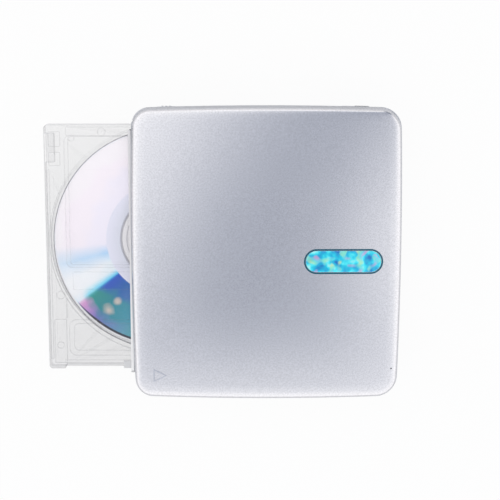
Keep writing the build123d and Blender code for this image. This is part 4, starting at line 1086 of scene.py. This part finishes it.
@dataclass
class LidShell(Assembly):
    """Pressed lid: bowed sides, a soft edge, a low crown and the cartridge's notch.

    The side is a chain of steps, each so far inwards and so far upwards, from the foot to the top.
    """

    half_x: float = 38.8
    half_y: float = 42.54
    bow: float = 0.7
    bow_cuts: int = 15
    straight: float = 20.0
    slot_corner: float = 5.2
    hinge_corner: float = 6.3
    corner_cuts: int = 14
    margin: float = 0.1
    hair: float = 0.001
    foot: float = 12.15
    first_step: float = 0.02
    wall: float = 0.7
    side: tuple[Span, ...] = (
        (0.20, 1.65), (0.20, 1.445), (0.10, 0.25), (0.14, 0.22), (0.18, 0.16), (0.13, 0.10), (0.12, 0.06),
        (0.12, 0.03), (0.20, 0.022), (0.40, 0.022), (0.70, 0.016))
    roll_start: float = 15.3
    rings: tuple[float, ...] = (0.95, 0.87, 0.85, 0.79, 0.67)
    ring_inset: float = 0.01
    crown: float = 1.155
    crown_reach: float = 60.0
    notch_x: Span = (-45.0, -35.0)
    notch_y: Span = (-35.4, 39.0)
    notch_z: Span = (11.0, 15.45)
    notch_edge: float = 0.05
    hinge_x: float = 36.2
    relief: float = 16.0

    def build(self) -> None:
        """Builds the shell in place of the plain solid."""
        self.draw_outline()
        self.raise_side()
        self.raise_crown()
        self.cut_relief()
        shell = self.bench.settle("lid_shell")
        self.bench.thicken(shell, self.wall)
        cutter = self.bench.block("notch", self.notch_x, self.notch_y, self.notch_z, self.notch_edge)
        self.bench.subtract(shell, cutter)
        self.mount(shell, "lid", "lid_metal", Paint.LID)
        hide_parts("lid_cover")

    def draw_outline(self) -> None:
        """Draws the lid's foot: a face with round corners, its four sides bowed outwards."""
        self.bench.begin()
        bpy.ops.mesh.primitive_plane_add(size=MM, location=(0, 0, self.foot * MM))
        bpy.ops.object.mode_set(mode="EDIT")
        bpy.ops.transform.resize(value=(2 * self.half_x, 2 * self.half_y, 1.0))
        for side, radius in ((-1, self.slot_corner), (1, self.hinge_corner)):
            self.pick(lambda point, side=side: point.x * side > (self.half_x - self.margin) * MM)
            bpy.ops.mesh.bevel(offset=radius * MM, segments=self.corner_cuts, affect="VERTICES")
        self.pick_long_edges(self.straight)
        bpy.ops.mesh.subdivide(number_cuts=self.bow_cuts)
        for x, y in ((1, 0), (-1, 0), (0, 1), (0, -1)):
            self.pick_nearest(x * self.half_x, y * self.half_y)
            reach = self.half_y if x else self.half_x
            bpy.ops.transform.translate(
                value=(x * self.bow * MM, y * self.bow * MM, 0), use_proportional_edit=True,
                proportional_edit_falloff="INVERSE_SQUARE", proportional_size=reach * MM)

    def raise_side(self) -> None:
        """Raises the drafted wall and rolls it over the soft edge, then closes the top with rings."""
        bpy.ops.mesh.select_mode(type="FACE")
        bpy.ops.mesh.select_all(action="SELECT")
        bpy.ops.mesh.extrude_region_move(TRANSFORM_OT_translate={"value": (0, 0, self.first_step * MM)})
        for inward, upward in self.side:
            bpy.ops.mesh.inset(thickness=inward * MM, depth=upward * MM, use_even_offset=True)
        for scale in self.rings:
            bpy.ops.mesh.inset(thickness=self.ring_inset * MM, depth=0)
            bpy.ops.transform.resize(value=(scale, scale, 1.0))
        bpy.ops.mesh.poke()

    def raise_crown(self) -> None:
        """Lifts the middle of the top into a low crown, while the walls are hidden."""
        self.pick(lambda point: point.z < self.roll_start * MM)
        bpy.ops.mesh.hide(unselected=False)
        self.pick_nearest(0.0, 0.0)
        bpy.ops.transform.translate(
            value=(0, 0, self.crown * MM), use_proportional_edit=True,
            proportional_edit_falloff="INVERSE_SQUARE", proportional_size=self.crown_reach * MM)
        bpy.ops.mesh.reveal()
        self.pick(lambda point: point.z < (self.foot + self.hair) * MM)
        bpy.ops.mesh.delete(type="FACE")

    def cut_relief(self) -> None:
        """Cuts the wall behind the hinge line on a slant, so that the lid can swing."""
        angle = math.radians(self.relief)
        bpy.ops.mesh.select_all(action="SELECT")
        bpy.ops.mesh.bisect(
            plane_co=(self.hinge_x * MM, 0, self.foot * MM), plane_no=(math.sin(angle), 0, -math.cos(angle)),
            clear_outer=True)

    def pick(self, wanted: Callable[[Vector], bool]) -> None:
        """Selects vertices by their place, and the faces between them.

        Args:
            wanted: The test of a place, in metres.
        """
        bpy.ops.mesh.select_mode(type="VERT")
        bpy.ops.mesh.select_all(action="DESELECT")
        bpy.ops.object.mode_set(mode="OBJECT")
        for vertex in bpy.context.object.data.vertices:
            vertex.select = wanted(vertex.co + bpy.context.object.location)
        bpy.ops.object.mode_set(mode="EDIT")

    def pick_nearest(self, x: float, y: float) -> None:
        """Selects the one vertex nearest to a place seen from above."""
        nearest = min(self.points(), key=lambda point: math.hypot(point.x - x * MM, point.y - y * MM))
        self.pick(lambda point: (point - nearest).length < self.hair * MM)

    def points(self) -> list[Vector]:
        """Places of the piece's visible vertices.

        Returns:
            The places, in metres.
        """
        bpy.ops.object.mode_set(mode="OBJECT")
        piece = bpy.context.object
        places = [vertex.co + piece.location for vertex in piece.data.vertices if not vertex.hide]
        bpy.ops.object.mode_set(mode="EDIT")
        return places

    def pick_long_edges(self, longer_than: float) -> None:
        """Selects the long edges.

        Args:
            longer_than: The length that they exceed.
        """
        bpy.ops.mesh.select_all(action="DESELECT")
        bpy.ops.object.mode_set(mode="OBJECT")
        mesh = bpy.context.object.data
        for edge in mesh.edges:
            ends = [mesh.vertices[index].co for index in edge.vertices]
            edge.select = (ends[0] - ends[1]).length > longer_than * MM
        bpy.ops.object.mode_set(mode="EDIT")
        bpy.ops.mesh.select_mode(type="EDGE")


@dataclass
class LidMarks(Assembly):
    """Direction mark and pin hole in the lid's outer face; the hole is a dark disc of painted shade."""

    arrow: Span = (-31.8, -35.7)
    arrow_size: float = 2.25
    arrow_turn: float = -90
    arrow_stretch: float = 1.15
    arrow_rise: float = 0.13
    arrow_line: float = 0.28
    pin_hole_shade: Span = (36.7, -33.6)
    pin_radius: float = 0.22
    pin_sink: float = 0.06
    pin_height: float = 0.084
    pin_sides: int = 16
    above: float = 100.0

    def build(self) -> None:
        """Builds the embossed triangle, and a dark disc as the pin hole's painted shade."""
        foot = (*self.arrow, self.height(*self.arrow))
        arrow = self.bench.arrowhead(
            "direction_mark", foot, self.arrow_size, self.arrow_turn, self.arrow_rise, self.arrow_line,
            self.arrow_stretch)
        # The mark's lighter metal is partly a painted highlight.
        self.mount(arrow, "lid", "lid_metal", Paint.MARK)
        # Painted shade: a dark disc set into the face stands in for the shade inside the pin hole.
        foot = (*self.pin_hole_shade, self.height(*self.pin_hole_shade) - self.pin_sink)
        hole = self.bench.ring("pin_hole_shade", foot, self.pin_radius, self.pin_height, 0.0, self.pin_sides)
        self.mount(hole, "lid", "dark_plastic", Paint.DARK)

    def height(self, x: float, y: float) -> float:
        """Height of the lid's outer face.

        Args:
            x: The place along X.
            y: The place along Y.

        Returns:
            The height there, in millimetres.
        """
        bpy.context.view_layer.update()
        shell = bpy.data.objects["lid_shell"]
        above = Vector((x, y, self.above)) * MM
        return shell.ray_cast(above, Vector((0, 0, -1)))[1].z / MM


class Stroke(Enum):
    """Strokes of the keys' signs: the turn of an arrowhead in degrees, or a bar's half sizes."""

    LEFT = 90
    RIGHT = -90
    BAR = (0.11, 0.55)
    SQUARE = (0.50, 0.50)
    FLAT = (0.60, 0.13)
    POST = (0.13, 0.60)


@dataclass
class KeyMarks(Assembly):
    """Raised signs on the six keys: skip back, play, skip on, stop, softer and louder.

    A sign is given by its key, the key's middle along X, the key's face along Y and its strokes, each at
    its place along the key.
    """

    middle_z: float = 5.7
    arrow: float = 0.62
    rise: float = 0.10
    seat: float = 0.04
    corner: float = 0.05
    signs: tuple[tuple[str, float, float, tuple[tuple[Stroke, float], ...]], ...] = (
        ("previous_button", -30.0, -42.54, ((Stroke.BAR, -1.05), (Stroke.LEFT, -0.35), (Stroke.LEFT, 0.65))),
        ("play_button", -22.8, -42.71, ((Stroke.RIGHT, 0.0),)),
        ("next_button", -15.6, -42.84, ((Stroke.RIGHT, -0.65), (Stroke.RIGHT, 0.35), (Stroke.BAR, 1.05))),
        ("stop_button", -8.4, -42.92, ((Stroke.SQUARE, 0.0),)),
        ("volume_down_button", -1.2, -42.95, ((Stroke.FLAT, 0.0),)),
        ("volume_up_button", 6.0, -42.94, ((Stroke.FLAT, 0.0), (Stroke.POST, 0.0))),
    )

    def build(self) -> None:
        """Builds the six signs."""
        for key, x, face, strokes in self.signs:
            sign = self.bench.join(key + "_sign", [self.stroke(kind, offset) for kind, offset in strokes])
            self.bench.stand_up(sign, Wall.NEAR)
            self.bench.shift(sign, (x, face + self.seat, self.middle_z))
            self.mount(sign, BODY_OF[key], "dark_plastic", Paint.CHIP)

    def stroke(self, kind: Stroke, offset: float) -> Piece:
        """One stroke, flat at the origin.

        Args:
            kind: The stroke.
            offset: Its place along the key.

        Returns:
            The piece.
        """
        if kind in (Stroke.LEFT, Stroke.RIGHT):
            return self.bench.arrowhead("stroke", (offset, 0.0, 0.0), self.arrow, kind.value, self.rise)
        half_x, half_y = kind.value
        across = (offset - half_x, offset + half_x)
        return self.bench.plate("stroke", across, (-half_y, half_y), (0.0, self.rise), self.corner)


@dataclass
class WallFittings(Assembly):
    """Small fittings of the walls: the jack's liner, the socket's pins and the battery door's grip.

    The liner is given by its radius, height, wall and number of sides.
    """

    jack: Point = (27.8, 42.0, 5.2)
    liner: tuple[float, float, float, int] = (2.35, 0.16, 0.5, 40)
    pin_x: Span = (17.3, 17.7)
    pin_y: Span = (39.9, 41.7)
    pin_z: Span = (5.05, 5.35)
    pin_edge: float = 0.06
    pin_pitch: float = 1.25
    pins: int = 4
    grip_x: Span = (21.6, 26.6)
    grip_y: Span = (-42.42, -42.0)
    grip_z: Span = (6.29, 6.51)
    grip_edge: float = 0.09
    grip_steps: tuple[Point, ...] = ((0.0, -0.07, 0.55), (0.0, -0.13, 1.1))

    def build(self) -> None:
        """Builds the fittings."""
        liner = self.bench.ring("jack_liner", (0.0, 0.0, 0.0), *self.liner)
        self.bench.stand_up(liner, Wall.FAR)
        self.bench.shift(liner, self.jack)
        self.mount(liner, "base", "bright_steel", Paint.STEEL)
        pin = self.bench.block("pin", self.pin_x, self.pin_y, self.pin_z, self.pin_edge)
        pins = self.bench.copies(pin, [(self.pin_pitch * step, 0.0, 0.0) for step in range(1, self.pins)])
        self.mount(self.bench.join("socket_pins", pins), "base", "gold_contact", Paint.GOLD)
        ridge = self.bench.block("ridge", self.grip_x, self.grip_y, self.grip_z, self.grip_edge)
        grip = self.bench.join("door_grip", self.bench.copies(ridge, self.grip_steps))
        self.mount(grip, BODY_OF["battery_door"], "case_metal", Paint.CASE)


@dataclass
class Studio:
    """Pale floor, soft world with a dark flag overhead, and the camera.

    The flag's limits are slanted lines in the direction a ray leaves in: a start and a slope each.
    """

    floor_size: float = 1.2
    floor_drop: float = 0.2 * MM
    floor_glow: float = 0.93
    paper: Colour = (0.9, 0.9, 0.9)
    paper_in_gloss: Colour = (0.74, 0.75, 0.76)
    contact_gap: float = 0.6 * MM
    lens: float = 93.6
    sensor: float = 36.0
    nearest: float = 10 * MM
    tilt: float = math.radians(10.0)
    distance: float = 381 * MM
    aim: Point = (-4.8 * MM, 1.0 * MM, 12 * MM)
    flag_left: Span = (0.064, 0.47)
    flag_right: Span = (0.124, 0.62)
    flag_south: Span = (-0.005, -0.27)
    left_softness: float = 0.76
    near_span: Span = (-0.25, -0.45)
    near_lift: tuple[Span, ...] = (
        (0.0, 0.0), (0.225, 0.060), (0.350, 0.052), (0.390, 0.110), (0.5, 0.13), (0.75, 0.19), (1.0, 0.2))
    flag_reach: float = 0.20
    flag_levels: Stops = (
        (0.0, (0.345, 0.375, 0.45)), (0.12, (0.39, 0.42, 0.50)), (0.28, (0.56, 0.59, 0.66)),
        (0.46, (0.76, 0.78, 0.84)), (0.62, (0.93, 0.95, 0.99)), (0.82, (1.04, 1.05, 1.07)),
        (1.0, (1.08, 1.08, 1.10)))
    low_light: Span = (0.72, 1.0)
    low_span: Span = (0.30, 0.72)

    def build_floor(self) -> None:
        """Adds the white floor that keeps a faint shadow and lets light reach the underside."""
        bpy.ops.mesh.primitive_plane_add(size=self.floor_size, location=(0, 0, -self.floor_drop))
        floor = bpy.context.object
        floor.name = "floor"
        bench = NodeBench.for_material("floor_paper")
        rays = bench.add("LightPath").outputs
        paper = bench.add("BsdfDiffuse")
        shades = bench.ramp(rays["Is Glossy Ray"], [(0.0, self.paper), (1.0, self.paper_in_gloss)])
        bench.link(shades, paper.inputs["Color"])
        glow = bench.add("Emission", Color=(1.0, 1.0, 1.0, 1.0), Strength=1.0)
        seen = bench.maths("MAXIMUM", rays["Is Camera Ray"], rays["Is Transmission Ray"])
        lit = bench.blend(bench.spread(seen, 0.0, self.floor_glow), paper, glow)
        close = bench.maths("LESS_THAN", rays["Ray Length"], self.contact_gap)
        bounced = bench.maths("SUBTRACT", 1.0, rays["Is Camera Ray"])
        below = bench.add("NewGeometry").outputs["Backfacing"]
        through = bench.maths("MAXIMUM", bench.maths("MULTIPLY", close, bounced), below)
        whole = bench.blend(through, lit, bench.add("BsdfTransparent"))
        floor.data.materials.append(bench.finish(whole))

    def build_world(self) -> None:
        """Adds soft white surroundings with a dark flag that shapes the lid's reflection."""
        world = bpy.data.worlds.new("studio")
        bpy.context.scene.world = world
        bench = NodeBench(world)
        across, along, up = bench.axes(bench.add("TexCoord").outputs["Generated"])
        left, right, south = (
            bench.maths("SUBTRACT", across, bench.maths("ADD", bench.maths("MULTIPLY", along, slope), start))
            for start, slope in (self.flag_left, self.flag_right, self.flag_south))
        past_left = bench.maths("MULTIPLY", left, -self.left_softness)
        past_right = bench.maths("MINIMUM", right, south)
        past_near = bench.curve(bench.spread(along, 0.0, 1.0, *self.near_span), self.near_lift)
        past = bench.maths("MAXIMUM", bench.maths("MAXIMUM", past_left, past_right), past_near)
        light = bench.add("Background")
        level = bench.ramp(bench.spread(past, 0.0, 1.0, 0.0, self.flag_reach), self.flag_levels)
        bench.link(level, light.inputs["Color"])
        bench.link(bench.spread(up, *self.low_light, *self.low_span), light.inputs["Strength"])
        white = bench.add("Background", Color=(1.0, 1.0, 1.0, 1.0))
        seen = bench.add("LightPath").outputs["Is Camera Ray"]
        bench.finish(bench.blend(seen, light, white), "OutputWorld")

    def build_camera(self) -> None:
        """Adds the camera at the photograph's angle."""
        camera = bpy.data.cameras.new("camera")
        camera.lens = self.lens
        camera.sensor_width = self.sensor
        camera.clip_start = self.nearest
        holder = bpy.data.objects.new("camera", camera)
        x, y, z = self.aim
        holder.location = (
            x, y + self.distance * math.sin(self.tilt), z + self.distance * math.cos(self.tilt))
        holder.rotation_euler = (-self.tilt, 0, 0)
        bpy.context.scene.collection.objects.link(holder)
        bpy.context.scene.camera = holder
        bpy.context.scene.view_settings.view_transform = "Standard"


def main() -> None:
    """Builds the pieces in order and sets the studio."""
    logging.basicConfig(level=logging.INFO, format="%(message)s")
    shop = PaintShop()
    shop.coat_frame()
    LOG.info("frame dressed")
    bench = Workbench()
    for assembly in (LidShell, LidMarks, LipFace, CartridgeRelief, DiscTrim, KeyMarks, WallFittings):
        assembly(bench, shop).build()
    studio = Studio()
    studio.build_floor()
    studio.build_world()
    studio.build_camera()
    LOG.info("studio set")


if __name__ == "__main__":
    main()
